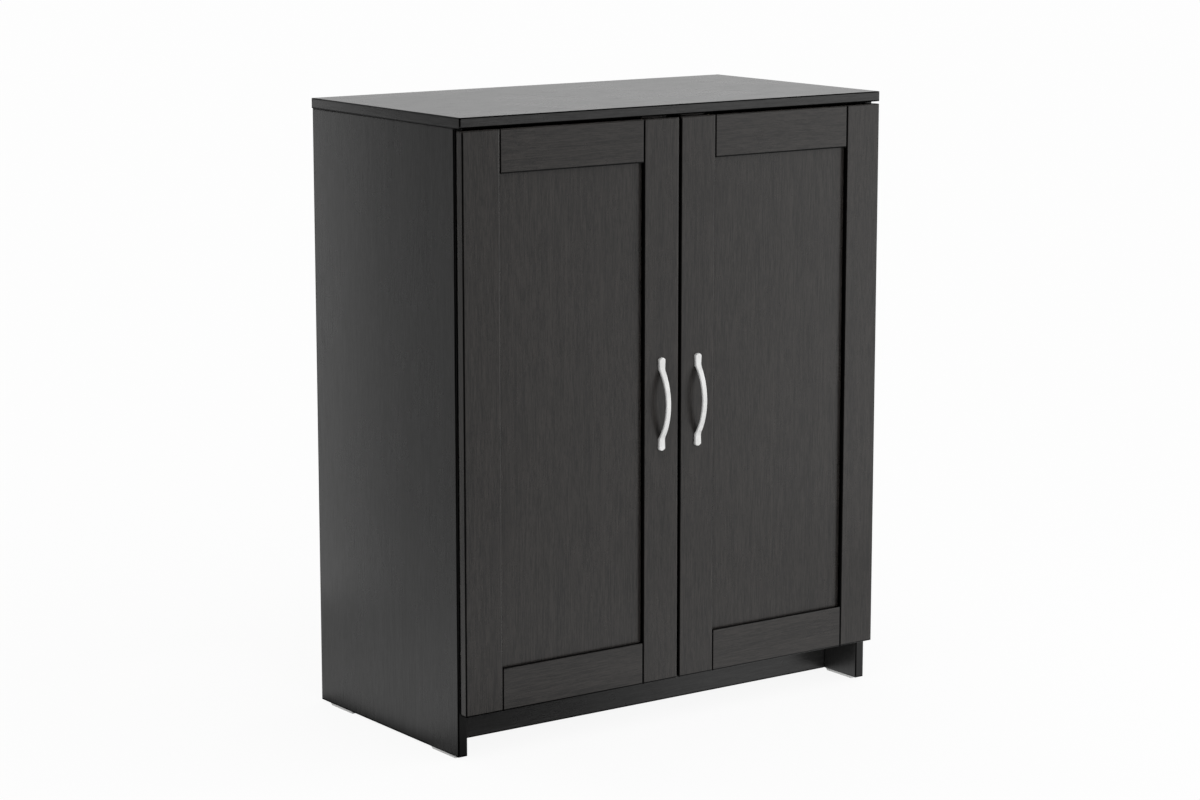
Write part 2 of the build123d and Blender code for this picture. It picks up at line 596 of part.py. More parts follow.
def foot_pad(side, centre):
    """A stepped plastic pad under a side panel, with sunk nail holes."""
    x = side * SIDE_MIDDLE
    half_length = PAD_LENGTH / 2
    half_width = PAD_WIDTH / 2
    upper = block(
        (x - half_width, x + half_width), (centre - half_length, centre + half_length),
        (PAD_STEP_HEIGHT, PAD_THICKNESS))
    inner_length = half_length - PAD_STEP_INSET
    inner_width = half_width - PAD_STEP_INSET
    lower = block(
        (x - inner_width, x + inner_width), (centre - inner_length, centre + inner_length),
        (0, PAD_STEP_HEIGHT))
    body = upper + lower
    for offset in (-PAD_NAIL_SPACING / 2, PAD_NAIL_SPACING / 2):
        body -= rod_z(PAD_NAIL_RADIUS + HOLE_PLAY, x, centre + offset, (0, PAD_THICKNESS))
        sink = (0, PAD_NAIL_RECESS + PAD_NAIL_HEAD_THICKNESS)
        body -= rod_z(PAD_NAIL_HEAD_RADIUS + HOLE_PLAY, x, centre + offset, sink)
    return body


def foot_pad_nails():
    """Two nails through each foot pad."""
    nails = []
    head_top = PAD_NAIL_RECESS + PAD_NAIL_HEAD_THICKNESS
    for side in (LEFT, RIGHT):
        for centre in PAD_CENTRES.values():
            for offset in (-PAD_NAIL_SPACING / 2, PAD_NAIL_SPACING / 2):
                x = side * SIDE_MIDDLE
                y = centre + offset
                shank = rod_z(PAD_NAIL_RADIUS, x, y, (head_top, SIDE_BOTTOM + PAD_NAIL_GRIP))
                nails.append(shank + rod_z(PAD_NAIL_HEAD_RADIUS, x, y, (PAD_NAIL_RECESS, head_top)))
    return nails


def groove_slice():
    """Front and back of the groove that holds a door's panel."""
    return (PANEL_FRONT - GROOVE_PLAY, PANEL_BACK + GROOVE_PLAY)


def outer_stile(side):
    """The stile on the hinge side, bored for the cups and their screws."""
    height_span = (DOOR_BOTTOM, DOOR_TOP)
    body = rounded_block(
        (side * DOOR_OUTER, side * OPENING_OUTER), (DOOR_FRONT, DOOR_BACK), height_span, FRAME_ROUND)
    body -= block(
        (side * OPENING_OUTER, side * (OPENING_OUTER + GROOVE_DEPTH)), groove_slice(), height_span)
    for height in HINGE_HEIGHTS:
        pocket = (DOOR_BACK - CUP_DEPTH - HOLE_PLAY, DOOR_BACK)
        body -= rod_y(CUP_RADIUS + HOLE_PLAY, side * CUP_X, pocket, height)
        run = (DOOR_BACK - CUP_SCREW_LENGTH - HOLE_END_PLAY, DOOR_BACK)
        for offset in (-CUP_SCREW_SPACING / 2, CUP_SCREW_SPACING / 2):
            body -= rod_y(CUP_SCREW_RADIUS + HOLE_PLAY, side * CUP_SCREW_X, run, height + offset)
    return body


def inner_stile(side):
    """The stile at the middle of the cabinet, bored for the handle and the strike plate."""
    height_span = (DOOR_BOTTOM, DOOR_TOP)
    body = rounded_block(
        (side * DOOR_INNER, side * OPENING_INNER), (DOOR_FRONT, DOOR_BACK), height_span, FRAME_ROUND)
    body -= block(
        (side * OPENING_INNER, side * (OPENING_INNER - GROOVE_DEPTH)), groove_slice(), height_span)
    for height in HANDLE_HOLES:
        body -= rod_y(HANDLE_SCREW_RADIUS + HOLE_PLAY, side * HANDLE_X, (DOOR_FRONT, DOOR_BACK), height)
    stud = (DOOR_BACK - STRIKE_STUD_LENGTH - HOLE_END_PLAY, DOOR_BACK)
    body -= rod_y(STRIKE_STUD_RADIUS + HOLE_PLAY, side * CATCH_X, stud, STRIKE_TOP - STRIKE_HEIGHT / 2)
    return body


def rail(side, outer_edge, panel_edge):
    """A rail between the stiles, tongued into them and grooved for the panel."""
    toward_panel = 1 if panel_edge > outer_edge else -1
    body = rounded_block(
        (side * OPENING_INNER, side * OPENING_OUTER), (DOOR_FRONT, DOOR_BACK), (outer_edge, panel_edge),
        FRAME_ROUND)
    tongue_reach = GROOVE_DEPTH - GROOVE_END_PLAY
    tongue = block(
        (side * (OPENING_INNER - tongue_reach), side * (OPENING_OUTER + tongue_reach)),
        (PANEL_FRONT, PANEL_BACK),
        (outer_edge + toward_panel * FRAME_ROUND, panel_edge - toward_panel * GROOVE_DEPTH))
    groove = block(
        (side * OPENING_INNER, side * OPENING_OUTER), groove_slice(),
        (panel_edge, panel_edge - toward_panel * GROOVE_DEPTH))
    return body + tongue - groove


def door_panel(side):
    """The thin panel that sits in the grooves of its frame."""
    reach = GROOVE_DEPTH - GROOVE_END_PLAY
    return block(
        (side * (OPENING_INNER - reach), side * (OPENING_OUTER + reach)), (PANEL_FRONT, PANEL_BACK),
        (DOOR_BOTTOM + RAIL_WIDTH - reach, DOOR_TOP - RAIL_WIDTH + reach))


def handle_side_view():
    """The handle's outline seen from the side: two flat ends and a bow between them."""
    half = HANDLE_HOLE_SPACING / 2 + HANDLE_END_REACH
    bow = half - HANDLE_FLAT_LENGTH
    radius = (bow ** 2 + HANDLE_RISE ** 2) / (2 * HANDLE_RISE)
    centre = radius - HANDLE_PROJECTION
    inside = radius - HANDLE_THICKNESS
    foot = (inside ** 2 - centre ** 2) ** 0.5
    outer = [
        Line((0, -half), (-HANDLE_THICKNESS, -half)),
        Line((-HANDLE_THICKNESS, -half), (-HANDLE_THICKNESS, -bow)),
        ThreePointArc((-HANDLE_THICKNESS, -bow), (-HANDLE_PROJECTION, 0), (-HANDLE_THICKNESS, bow)),
        Line((-HANDLE_THICKNESS, bow), (-HANDLE_THICKNESS, half)),
        Line((-HANDLE_THICKNESS, half), (0, half)),
    ]
    inner = [
        Line((0, half), (0, foot)),
        ThreePointArc((0, foot), (-HANDLE_RISE, 0), (0, -foot)),
        Line((0, -foot), (0, -half)),
    ]
    outline = make_face(Curve() + outer + inner)
    bends = [point for point in outline.vertices() if abs(abs(point.Y) - bow) < HANDLE_EDGE_ROUND
             and point.X < -HANDLE_THICKNESS / 2]
    return fillet(bends, HANDLE_BEND_RADIUS)


def handle_front_view():
    """The handle's outline seen from the front: bulging ends and a slight waist."""
    end = HANDLE_END_WIDTH / 2
    waist = HANDLE_MIDDLE_WIDTH / 2
    half = HANDLE_HOLE_SPACING / 2 + HANDLE_END_REACH
    shoulder = half - HANDLE_END_BULGE
    edges = [
        ThreePointArc((end, -shoulder), (waist, 0), (end, shoulder)),
        ThreePointArc((end, shoulder), (0, half), (-end, shoulder)),
        ThreePointArc((-end, shoulder), (-waist, 0), (-end, -shoulder)),
        ThreePointArc((-end, -shoulder), (0, -half), (end, -shoulder)),
    ]
    outline = make_face(Curve() + edges)
    return fillet(outline.vertices(), HANDLE_CORNER_ROUND)


def handle(side):
    """A bow handle on a door's inner stile, bored for its two screws."""
    from_side = Plane(origin=(0, 0, 0), x_dir=(0, 1, 0), z_dir=(1, 0, 0))
    from_front = Plane(origin=(0, 0, 0), x_dir=(1, 0, 0), z_dir=(0, -1, 0))
    bow = extrude(from_side * handle_side_view(), amount=HANDLE_END_WIDTH, both=True)
    outline = extrude(from_front * handle_front_view(), amount=2 * HANDLE_PROJECTION, both=True)
    body = bow & outline
    across = body.edges().filter_by(Axis.X)
    off_the_door = [edge for edge in body.edges() if edge.center().Y < HANDLE_EDGE_ROUND - HANDLE_THICKNESS]
    body = fillet([edge for edge in off_the_door if edge not in across], HANDLE_EDGE_ROUND)
    for offset in (-HANDLE_HOLE_SPACING / 2, HANDLE_HOLE_SPACING / 2):
        run = (0, -HANDLE_SCREW_GRIP - HOLE_END_PLAY)
        body -= rod_y(HANDLE_SCREW_RADIUS + HOLE_PLAY, 0, run, offset)
    return Pos(side * HANDLE_X, DOOR_FRONT, DOOR_MIDDLE) * body


def handle_screws(side):
    """The screws of a handle, put in from behind the door."""
    screws = []
    shank_run = (DOOR_FRONT - HANDLE_SCREW_GRIP, DOOR_BACK)
    head_run = (DOOR_BACK, DOOR_BACK + HANDLE_SCREW_HEAD_THICKNESS)
    for height in HANDLE_HOLES:
        shank = rod_y(HANDLE_SCREW_RADIUS, side * HANDLE_X, shank_run, height)
        screws.append(shank + rod_y(HANDLE_SCREW_HEAD_RADIUS, side * HANDLE_X, head_run, height))
    return screws


def hinge_cup(side, height):
    """A hinge cup with its flange, hollow inside, with two bosses that hold the pivot pin."""
    x = side * CUP_X
    shell = rod_y(CUP_RADIUS, x, (DOOR_BACK - CUP_DEPTH, DOOR_BACK), height)
    hollow = rod_y(CUP_RADIUS - CUP_WALL, x, (DOOR_BACK - CUP_DEPTH + CUP_FLOOR, DOOR_BACK), height)
    face = (DOOR_BACK, DOOR_BACK + CUP_FLANGE_THICKNESS)
    wing_x = (side * (CUP_SCREW_X - CUP_FLANGE_WIDTH / 2), side * (CUP_SCREW_X + CUP_FLANGE_WIDTH / 2))
    wing = block(wing_x, face, (height - CUP_FLANGE_LENGTH / 2, height + CUP_FLANGE_LENGTH / 2))
    wing = fillet(wing.edges().filter_by(Axis.Y), CUP_FLANGE_ROUND)
    flange = wing + rod_y(CUP_RADIUS + CUP_FLANGE_RIM, x, face, height)
    mouth = rod_y(CUP_RADIUS - CUP_WALL, x, face, height)
    gap = ARM_NOSE_WIDTH / 2 + ARM_NOSE_PLAY
    boss_x = (side * (PIVOT_X - PIVOT_PIN_RADIUS - PIVOT_BOSS_MARGIN), side * (CUP_X + CUP_RADIUS))
    boss_y = (DOOR_BACK - CUP_DEPTH, PIVOT_Y + PIVOT_PIN_RADIUS + PIVOT_BOSS_MARGIN)
    filling = block(boss_x, boss_y, (height - CUP_RADIUS, height + CUP_RADIUS))
    filling -= block(boss_x, boss_y, (height - gap, height + gap))
    bosses = filling & shell
    bore_half = PIVOT_PIN_LENGTH / 2 + HOLE_END_PLAY
    bore_run = (height - bore_half, height + bore_half)
    bore = rod_z(PIVOT_PIN_RADIUS + HOLE_PLAY, side * PIVOT_X, PIVOT_Y, bore_run)
    body = shell - hollow + bosses + (flange - mouth) - bore
    for offset in (-CUP_SCREW_SPACING / 2, CUP_SCREW_SPACING / 2):
        body -= rod_y(CUP_SCREW_RADIUS + HOLE_PLAY, side * CUP_SCREW_X, face, height + offset)
    return body


def cup_screws(side):
    """The wood screws that hold the cups to the outer stile."""
    screws = []
    face = DOOR_BACK + CUP_FLANGE_THICKNESS
    for height in HINGE_HEIGHTS:
        for offset in (-CUP_SCREW_SPACING / 2, CUP_SCREW_SPACING / 2):
            place = height + offset
            shank = rod_y(CUP_SCREW_RADIUS, side * CUP_SCREW_X, (DOOR_BACK - CUP_SCREW_LENGTH, face), place)
            head_run = (face, face + CUP_SCREW_HEAD_THICKNESS)
            screws.append(shank + rod_y(CUP_SCREW_HEAD_RADIUS, side * CUP_SCREW_X, head_run, place))
    return screws


def hinge_pin(side, height):
    """The pin that a door turns on, held in the bosses of its cup."""
    half = PIVOT_PIN_LENGTH / 2
    return rod_z(PIVOT_PIN_RADIUS, side * PIVOT_X, PIVOT_Y, (height - half, height + half))


def hinge_arm(side, height):
    """A bent arm: an eye on the pin, a nose out of the cup, and a channel over the mounting plate."""
    nose = (height - ARM_NOSE_WIDTH / 2, height + ARM_NOSE_WIDTH / 2)
    half_bar = ARM_THICKNESS / 2
    foot_y = (PIVOT_Y - half_bar, PIVOT_Y + half_bar)
    body = rod_z(ARM_EYE_RADIUS, side * PIVOT_X, PIVOT_Y, nose)
    body += block((side * PIVOT_X, side * ARM_INNER), foot_y, nose)
    bar_x = (side * ARM_OUTER, side * ARM_INNER)
    body += block(bar_x, (PIVOT_Y - half_bar, SIDE_FRONT + ARM_FLANGE_START), nose)
    wide = (height - ARM_WIDTH / 2, height + ARM_WIDTH / 2)
    channel = (SIDE_FRONT + ARM_FLANGE_START, SIDE_FRONT + ARM_END)
    body += block(bar_x, channel, wide)
    flange_x = (side * (ARM_OUTER + ARM_FLANGE_DEPTH), side * ARM_OUTER)
    for edge, inward in ((wide[0], ARM_FLANGE_THICKNESS), (wide[1], -ARM_FLANGE_THICKNESS)):
        body += block(flange_x, channel, (edge, edge + inward))
    body -= rod_z(PIVOT_PIN_RADIUS + HOLE_PLAY, side * PIVOT_X, PIVOT_Y, nose)
    return body - rod_x(ARM_SCREW_RADIUS + HOLE_PLAY, bar_x, PLATE_Y, height)


def hinge_plate(side, height):
    """The mounting plate of an arm: two screwed wings and a ridge under the arm."""
    wing = block(
        (side * SIDE_INNER, side * PLATE_FACE),
        (PLATE_Y - PLATE_WING_WIDTH / 2, PLATE_Y + PLATE_WING_WIDTH / 2),
        (height - PLATE_WING_LENGTH / 2, height + PLATE_WING_LENGTH / 2))
    wing = fillet(wing.edges().filter_by(Axis.X), PLATE_WING_WIDTH / 2 - HOLE_PLAY)
    ridge = block(
        (side * SIDE_INNER, side * ARM_OUTER),
        (PLATE_Y - PLATE_RIDGE_LENGTH / 2, PLATE_Y + PLATE_RIDGE_LENGTH / 2),
        (height - PLATE_RIDGE_WIDTH / 2, height + PLATE_RIDGE_WIDTH / 2))
    body = wing + ridge
    for offset in (-PLATE_SCREW_SPACING / 2, PLATE_SCREW_SPACING / 2):
        run = (side * SIDE_INNER, side * PLATE_FACE)
        body -= rod_x(PLATE_SCREW_RADIUS + HOLE_PLAY, run, PLATE_Y, height + offset)
    grip = (side * ARM_OUTER, side * (ARM_OUTER + ARM_SCREW_GRIP + HOLE_END_PLAY))
    return body - rod_x(ARM_SCREW_RADIUS + HOLE_PLAY, grip, PLATE_Y, height)


def hinge_plate_screws():
    """The wood screws that hold the mounting plates to the sides."""
    screws = []
    for side in (LEFT, RIGHT):
        shank_run = (side * PLATE_FACE, side * (PLATE_FACE + PLATE_SCREW_LENGTH))
        head_run = (side * (PLATE_FACE - PLATE_SCREW_HEAD_THICKNESS), side * PLATE_FACE)
        for height in HINGE_HEIGHTS:
            for offset in (-PLATE_SCREW_SPACING / 2, PLATE_SCREW_SPACING / 2):
                shank = rod_x(PLATE_SCREW_RADIUS, shank_run, PLATE_Y, height + offset)
                screws.append(shank + rod_x(PLATE_SCREW_HEAD_RADIUS, head_run, PLATE_Y, height + offset))
    return screws


def hinge_arm_screws():
    """The machine screws that clamp the arms to their mounting plates."""
    screws = []
    for side in (LEFT, RIGHT):
        shank_run = (side * ARM_INNER, side * (ARM_OUTER + ARM_SCREW_GRIP))
        head_run = (side * (ARM_INNER - ARM_SCREW_HEAD_THICKNESS), side * ARM_INNER)
        for height in HINGE_HEIGHTS:
            shank = rod_x(ARM_SCREW_RADIUS, shank_run, PLATE_Y, height)
            screws.append(shank + rod_x(ARM_SCREW_HEAD_RADIUS, head_run, PLATE_Y, height))
    return screws


def door_bumpers(side):
    """Soft bumpers on the back of a door, which meet the front edge of the bottom panel."""
    run = (DOOR_BACK, DOOR_BACK + BUMPER_THICKNESS)
    return [rod_y(BUMPER_RADIUS, side * place, run, BOTTOM_MIDDLE) for place in BUMPER_PLACES]


def magnet_catch(side):
    """A magnet catch under the top, with an ear for a screw at each end."""
    x = side * CATCH_X
    half = CATCH_BODY_WIDTH / 2
    ys = (CATCH_FRONT, CATCH_FRONT + CATCH_DEPTH)
    body = block((x - half, x + half), ys, (SIDE_TOP - CATCH_HEIGHT, SIDE_TOP))
    reach = half + CATCH_EAR_WIDTH
    body += block((x - reach, x + reach), ys, (SIDE_TOP - CATCH_EAR_THICKNESS, SIDE_TOP))
    for offset in (-CATCH_SCREW_OFFSET, CATCH_SCREW_OFFSET):
        run = (SIDE_TOP - CATCH_EAR_THICKNESS, SIDE_TOP)
        body -= rod_z(CATCH_SCREW_RADIUS + HOLE_PLAY, x + offset, CATCH_FRONT + CATCH_DEPTH / 2, run)
    return body


def catch_screws():
    """The screws that hold the magnet catches to the top."""
    screws = []
    y = CATCH_FRONT + CATCH_DEPTH / 2
    under = SIDE_TOP - CATCH_EAR_THICKNESS
    head_run = (under - CATCH_SCREW_HEAD_THICKNESS, under)
    for x in catch_screw_places():
        shank = rod_z(CATCH_SCREW_RADIUS, x, y, (under, SIDE_TOP + CATCH_SCREW_GRIP))
        screws.append(shank + rod_z(CATCH_SCREW_HEAD_RADIUS, x, y, head_run))
    return screws


def strike_plate(side):
    """The steel plate on a door's back that its catch holds, with a stud pressed into the stile."""
    x = side * CATCH_X
    half = STRIKE_WIDTH / 2
    face = (DOOR_BACK, DOOR_BACK + STRIKE_THICKNESS)
    plate = block((x - half, x + half), face, (STRIKE_TOP - STRIKE_HEIGHT, STRIKE_TOP))
    stud_run = (DOOR_BACK - STRIKE_STUD_LENGTH, DOOR_BACK)
    return plate + rod_y(STRIKE_STUD_RADIUS, x, stud_run, STRIKE_TOP - STRIKE_HEIGHT / 2)


def carcass_nodes():
    """Every piece that stands still, by name."""
    nodes = {
        "top_panel": [top_panel()],
        "bottom_panel": [bottom_panel()],
        "kick_board": [kick_board()],
        "back_joint_strip": [back_joint_strip()],
        "back_nails": back_nails(),
        "shelf_pins": shelf_pins(),
        "side_cams": side_cams(),
        "top_cam_bolts": top_cam_bolts(),
        "bottom_cams": bottom_cams(),
        "bottom_cam_bolts": bottom_cam_bolts(),
        "panel_dowels": panel_dowels(),
        "corner_blocks": corner_blocks(),
        "corner_block_screws": corner_block_screws(),
        "foot_pad_nails": foot_pad_nails(),
        "hinge_plate_screws": hinge_plate_screws(),
        "hinge_arm_screws": hinge_arm_screws(),
        "magnet_catches": [magnet_catch(side) for side in (LEFT, RIGHT)],
        "catch_screws": catch_screws(),
    }
    for index in range(SHELF_COUNT):
        nodes[f"shelf_{index + 1}"] = [shelf(index)]
    for name, side in SIDES.items():
        nodes[f"{name}_side_panel"] = [side_panel(side)]
        nodes[f"{name}_back_panel"] = [back_panel(side)]
        nodes[f"{name}_hinge_arms"] = [hinge_arm(side, height) for height in HINGE_HEIGHTS]
        nodes[f"{name}_hinge_plates"] = [hinge_plate(side, height) for height in HINGE_HEIGHTS]
        for place, centre in PAD_CENTRES.items():
            nodes[f"{place}_{name}_foot_pad"] = [foot_pad(side, centre)]
    return nodes


def door_nodes(name, side):
    """Every piece that swings with one door, by name."""
    return {
        f"{name}_door_outer_stile": [outer_stile(side)],
        f"{name}_door_inner_stile": [inner_stile(side)],
        f"{name}_door_top_rail": [rail(side, DOOR_TOP, DOOR_TOP - RAIL_WIDTH)],
        f"{name}_door_bottom_rail": [rail(side, DOOR_BOTTOM, DOOR_BOTTOM + RAIL_WIDTH)],
        f"{name}_door_panel": [door_panel(side)],
        f"{name}_handle": [handle(side)],
        f"{name}_handle_screws": handle_screws(side),
        f"{name}_hinge_cups": [hinge_cup(side, height) for height in HINGE_HEIGHTS],
        f"{name}_cup_screws": cup_screws(side),
        f"{name}_hinge_pins": [hinge_pin(side, height) for height in HINGE_HEIGHTS],
        f"{name}_door_bumpers": door_bumpers(side),
        f"{name}_strike_plate": [strike_plate(side)],
    }


def write_nodes(nodes):
    """Write each node's solids to its own file."""
    for name, bodies in nodes.items():
        solids = [solid for body in bodies for solid in body.solids()]
        shape = solids[0] if len(solids) == 1 else Compound(children=solids)
        export_step(shape, f"parts/{name}.step")


os.makedirs("parts", exist_ok=True)
write_nodes(carcass_nodes())
for door_name, door_side in SIDES.items():
    write_nodes(door_nodes(door_name, door_side))
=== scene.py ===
"""Looks of a two-door shoe cabinet: finishes, small fittings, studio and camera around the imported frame.

Metres, +X to the right, +Z up, the front faces -Y, as in the frame.
"""
import logging
import math
from collections.abc import Iterable
from dataclasses import dataclass
from enum import Enum

import bmesh
import bpy
from mathutils import Matrix, Vector


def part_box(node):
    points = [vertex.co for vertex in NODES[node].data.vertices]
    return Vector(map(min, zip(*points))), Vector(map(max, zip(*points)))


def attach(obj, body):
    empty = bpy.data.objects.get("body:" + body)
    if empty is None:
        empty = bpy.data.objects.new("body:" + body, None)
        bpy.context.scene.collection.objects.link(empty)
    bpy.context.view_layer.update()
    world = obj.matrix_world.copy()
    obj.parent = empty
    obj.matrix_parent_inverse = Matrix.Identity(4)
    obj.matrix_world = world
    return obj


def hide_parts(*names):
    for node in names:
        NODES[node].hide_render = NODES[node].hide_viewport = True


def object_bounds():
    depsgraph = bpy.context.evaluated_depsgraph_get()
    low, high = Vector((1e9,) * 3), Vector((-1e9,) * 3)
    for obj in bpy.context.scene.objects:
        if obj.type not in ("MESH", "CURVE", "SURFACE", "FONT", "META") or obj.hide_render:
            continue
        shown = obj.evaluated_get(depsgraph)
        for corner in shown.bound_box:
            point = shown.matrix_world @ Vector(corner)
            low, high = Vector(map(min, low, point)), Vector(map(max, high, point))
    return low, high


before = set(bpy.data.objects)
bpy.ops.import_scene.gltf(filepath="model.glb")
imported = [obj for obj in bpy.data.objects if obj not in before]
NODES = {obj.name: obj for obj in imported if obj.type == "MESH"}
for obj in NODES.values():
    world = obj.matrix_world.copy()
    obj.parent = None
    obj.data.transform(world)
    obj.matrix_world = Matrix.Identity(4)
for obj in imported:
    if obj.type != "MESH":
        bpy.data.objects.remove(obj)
CAD_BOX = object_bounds()

LOG = logging.getLogger("shoe_cabinet")
MM = 0.001
WELD = 0.002 * MM
ROUND_STEPS = 32
SMOOTH_ANGLE = math.radians(35.0)

Colour = tuple[float, float, float]
Place = tuple[float, float, float]
Span = tuple[float, float]
Box = tuple[Vector, Vector]
Socket = bpy.types.NodeSocket
Tree = bpy.types.NodeTree
Material = bpy.types.Material
Mesh = bmesh.types.BMesh
Value = Socket | float | Vector | tuple


class Side(Enum):
    """Which door or side panel, seen from the front."""

    LEFT = "left"
    RIGHT = "right"


class Grain(Enum):
    """The way that a board's grain runs."""

    UPRIGHT = (0.0, 0.0, 1.0)
    ACROSS = (1.0, 0.0, 0.0)
    DEEP = (0.0, 1.0, 0.0)


class Facing(Enum):
    """The way a face of a board looks."""

    FRONT = (0.0, -1.0, 0.0)
    LEFT = (-1.0, 0.0, 0.0)
    RIGHT = (1.0, 0.0, 0.0)
    UP = (0.0, 0.0, 1.0)
    DOWN = (0.0, 0.0, -1.0)


class Corner(Enum):
    """The way the rounded corners of a board face that carry painted shade."""

    UPRIGHT = (-0.707, -0.707, 0.0)
    UPPER = (-0.707, -0.707, 0.707)


class Drive(Enum):
    """What is cut in the head of a screw or nail."""

    CROSS = "cross"
    NONE = "none"


class Effect(Enum):
    """Node groups that several materials share."""

    BOARD_EDGES = "board_edges"
    WOOD_GRAIN = "wood_grain"
    RUBBED_EDGE = "rubbed_edge"
    HANDLING = "handling"
    CHIPBOARD = "chipboard"
    BRUSHED = "brushed"
    MOULDED = "moulded"
    PAINTED_SHADE = "painted_edge"


@dataclass(frozen=True)
class Layer:
    """One layer of noise, drawn out along an axis."""

    stretch: float
    scale: float
    detail: float = 2.0
    roughness: float = 0.5


@dataclass
class Graph:
    """A node tree with short calls that add nodes and join them."""

    tree: Tree

    def node(self, kind: str, **settings: object) -> bpy.types.Node:
        """Adds a node.

        Args:
            kind: Blender's name of the node's type.
            settings: Values of the node's own properties.

        Returns:
            The new node.
        """
        made = self.tree.nodes.new(kind)
        for name, value in settings.items():
            setattr(made, name, value)
        return made

    def feed(self, socket: Socket, value: Value) -> None:
        """Links an output to a socket, or sets the socket to a plain value.

        Args:
            socket: The input to fill.
            value: An output socket, or a number, vector or colour.
        """
        if isinstance(value, Socket):
            self.tree.links.new(value, socket)
        else:
            socket.default_value = value

    def fill(self, node: bpy.types.Node, **inputs: Value) -> None:
        """Feeds inputs of a node by their names, with underscores for spaces."""
        for name, value in inputs.items():
            self.feed(node.inputs[name.replace("_", " ")], value)

    def coordinates(self, kind: str) -> Socket:
        """The piece's own Object, Normal or Generated coordinates."""
        return self.node("ShaderNodeTexCoord").outputs[kind]

    def math(self, operation: str, *values: Value) -> Socket:
        """Adds a Math node.

        Args:
            operation: Its operation.
            values: Its inputs in order.

        Returns:
            Its result.
        """
        made = self.node("ShaderNodeMath", operation=operation)
        for socket, value in zip(made.inputs, values):
            self.feed(socket, value)
        return made.outputs["Value"]

    def times(self, first: Value, second: Value) -> Socket:
        """The product of two values."""
        return self.math("MULTIPLY", first, second)

    def most(self, first: Value, second: Value) -> Socket:
        """The larger of two values."""
        return self.math("MAXIMUM", first, second)

    def plus(self, base: Value, mask: Value, amount: Value) -> Socket:
        """The base with an amount of the mask added."""
        return self.math("MULTIPLY_ADD", mask, amount, base)

    def vector(self, operation: str, *values: Value) -> Socket:
        """Adds a Vector Math node.

        Args:
            operation: Its operation.
            values: Its vector inputs in order.

        Returns:
            Its result, a number for a dot product or a length.
        """
        made = self.node("ShaderNodeVectorMath", operation=operation)
        for socket, value in zip(made.inputs, values):
            self.feed(socket, value)
        return made.outputs["Value" if operation in ("DOT_PRODUCT", "LENGTH") else "Vector"]

    def dot(self, first: Value, second: Value) -> Socket:
        """The dot product of two vectors."""
        return self.vector("DOT_PRODUCT", first, second)

    def scaled(self, vector: Value, factor: Value) -> Socket:
        """Adds a node that scales a vector.

        Args:
            vector: The vector.
            factor: The number that it is multiplied by.

        Returns:
            The scaled vector.
        """
        made = self.node("ShaderNodeVectorMath", operation="SCALE")
        self.fill(made, Vector=vector, Scale=factor)
        return made.outputs["Vector"]

    def split(self, vector: Value) -> list[Socket]:
        """Adds a node that parts a vector.

        Args:
            vector: The vector.

        Returns:
            Its X, Y and Z.
        """
        made = self.node("ShaderNodeSeparateXYZ")
        self.feed(made.inputs[0], vector)
        return list(made.outputs)

    def noise(self, vector: Value, scale: float, detail: float, roughness: float) -> Socket:
        """Adds a Noise Texture.

        Args:
            vector: Where it is read.
            scale: Features per metre.
            detail: Octaves of finer noise.
            roughness: Strength of the finer noise.

        Returns:
            A value about 0.5.
        """
        made = self.node("ShaderNodeTexNoise")
        self.fill(made, Vector=vector, Scale=scale, Detail=detail, Roughness=roughness)
        return made.outputs["Fac"]

    def ramp(self, value: Value, low: Value, high: Value, to_low: Value = 0.0,
             to_high: Value = 1.0) -> Socket:
        """Adds a smooth step between two values.

        Args:
            value: The input.
            low: Input that gives to_low.
            high: Input that gives to_high.
            to_low: Result at low.
            to_high: Result at high.

        Returns:
            The stepped value.
        """
        made = self.node("ShaderNodeMapRange", interpolation_type="SMOOTHSTEP")
        self.fill(made, Value=value, From_Min=low, From_Max=high, To_Min=to_low, To_Max=to_high)
        return made.outputs["Result"]

    def mix(self, factor: Value, first: Value, second: Value) -> Socket:
        """Adds a mix of two colours.

        Args:
            factor: Share of the second colour.
            first: Colour at 0.
            second: Colour at 1.

        Returns:
            The mixed colour.
        """
        made = self.node("ShaderNodeMix", data_type="RGBA")
        self.feed(made.inputs["Factor"], factor)
        colours = [socket for socket in made.inputs if socket.type == "RGBA"]
        for socket, value in zip(colours, (first, second)):
            self.feed(socket, opaque(value) if isinstance(value, tuple) else value)
        return next(socket for socket in made.outputs if socket.type == "RGBA")

    def blend(self, factor: Value, first: Value, second: Value) -> Socket:
        """Adds a mix of two vectors, the second at a factor of 1."""
        return self.vector("ADD", first, self.scaled(self.vector("SUBTRACT", second, first), factor))

    def effect(self, effect: Effect, **inputs: Value) -> dict[str, Socket]:
        """Places a shared node group.

        Args:
            effect: Which group.
            inputs: Values of its sockets, with underscores for spaces.

        Returns:
            Its outputs by name.
        """
        made = self.node("ShaderNodeGroup", node_tree=EFFECTS.group(effect))
        self.fill(made, **inputs)
        return dict(made.outputs.items())


def opaque(colour: Colour) -> tuple[float, float, float, float]:
    """The colour with an alpha of 1."""
    return (*colour, 1.0)


def toned(colour: Colour, factor: float) -> Colour:
    """The colour with each channel multiplied by a factor."""
    return tuple(factor * channel for channel in colour)


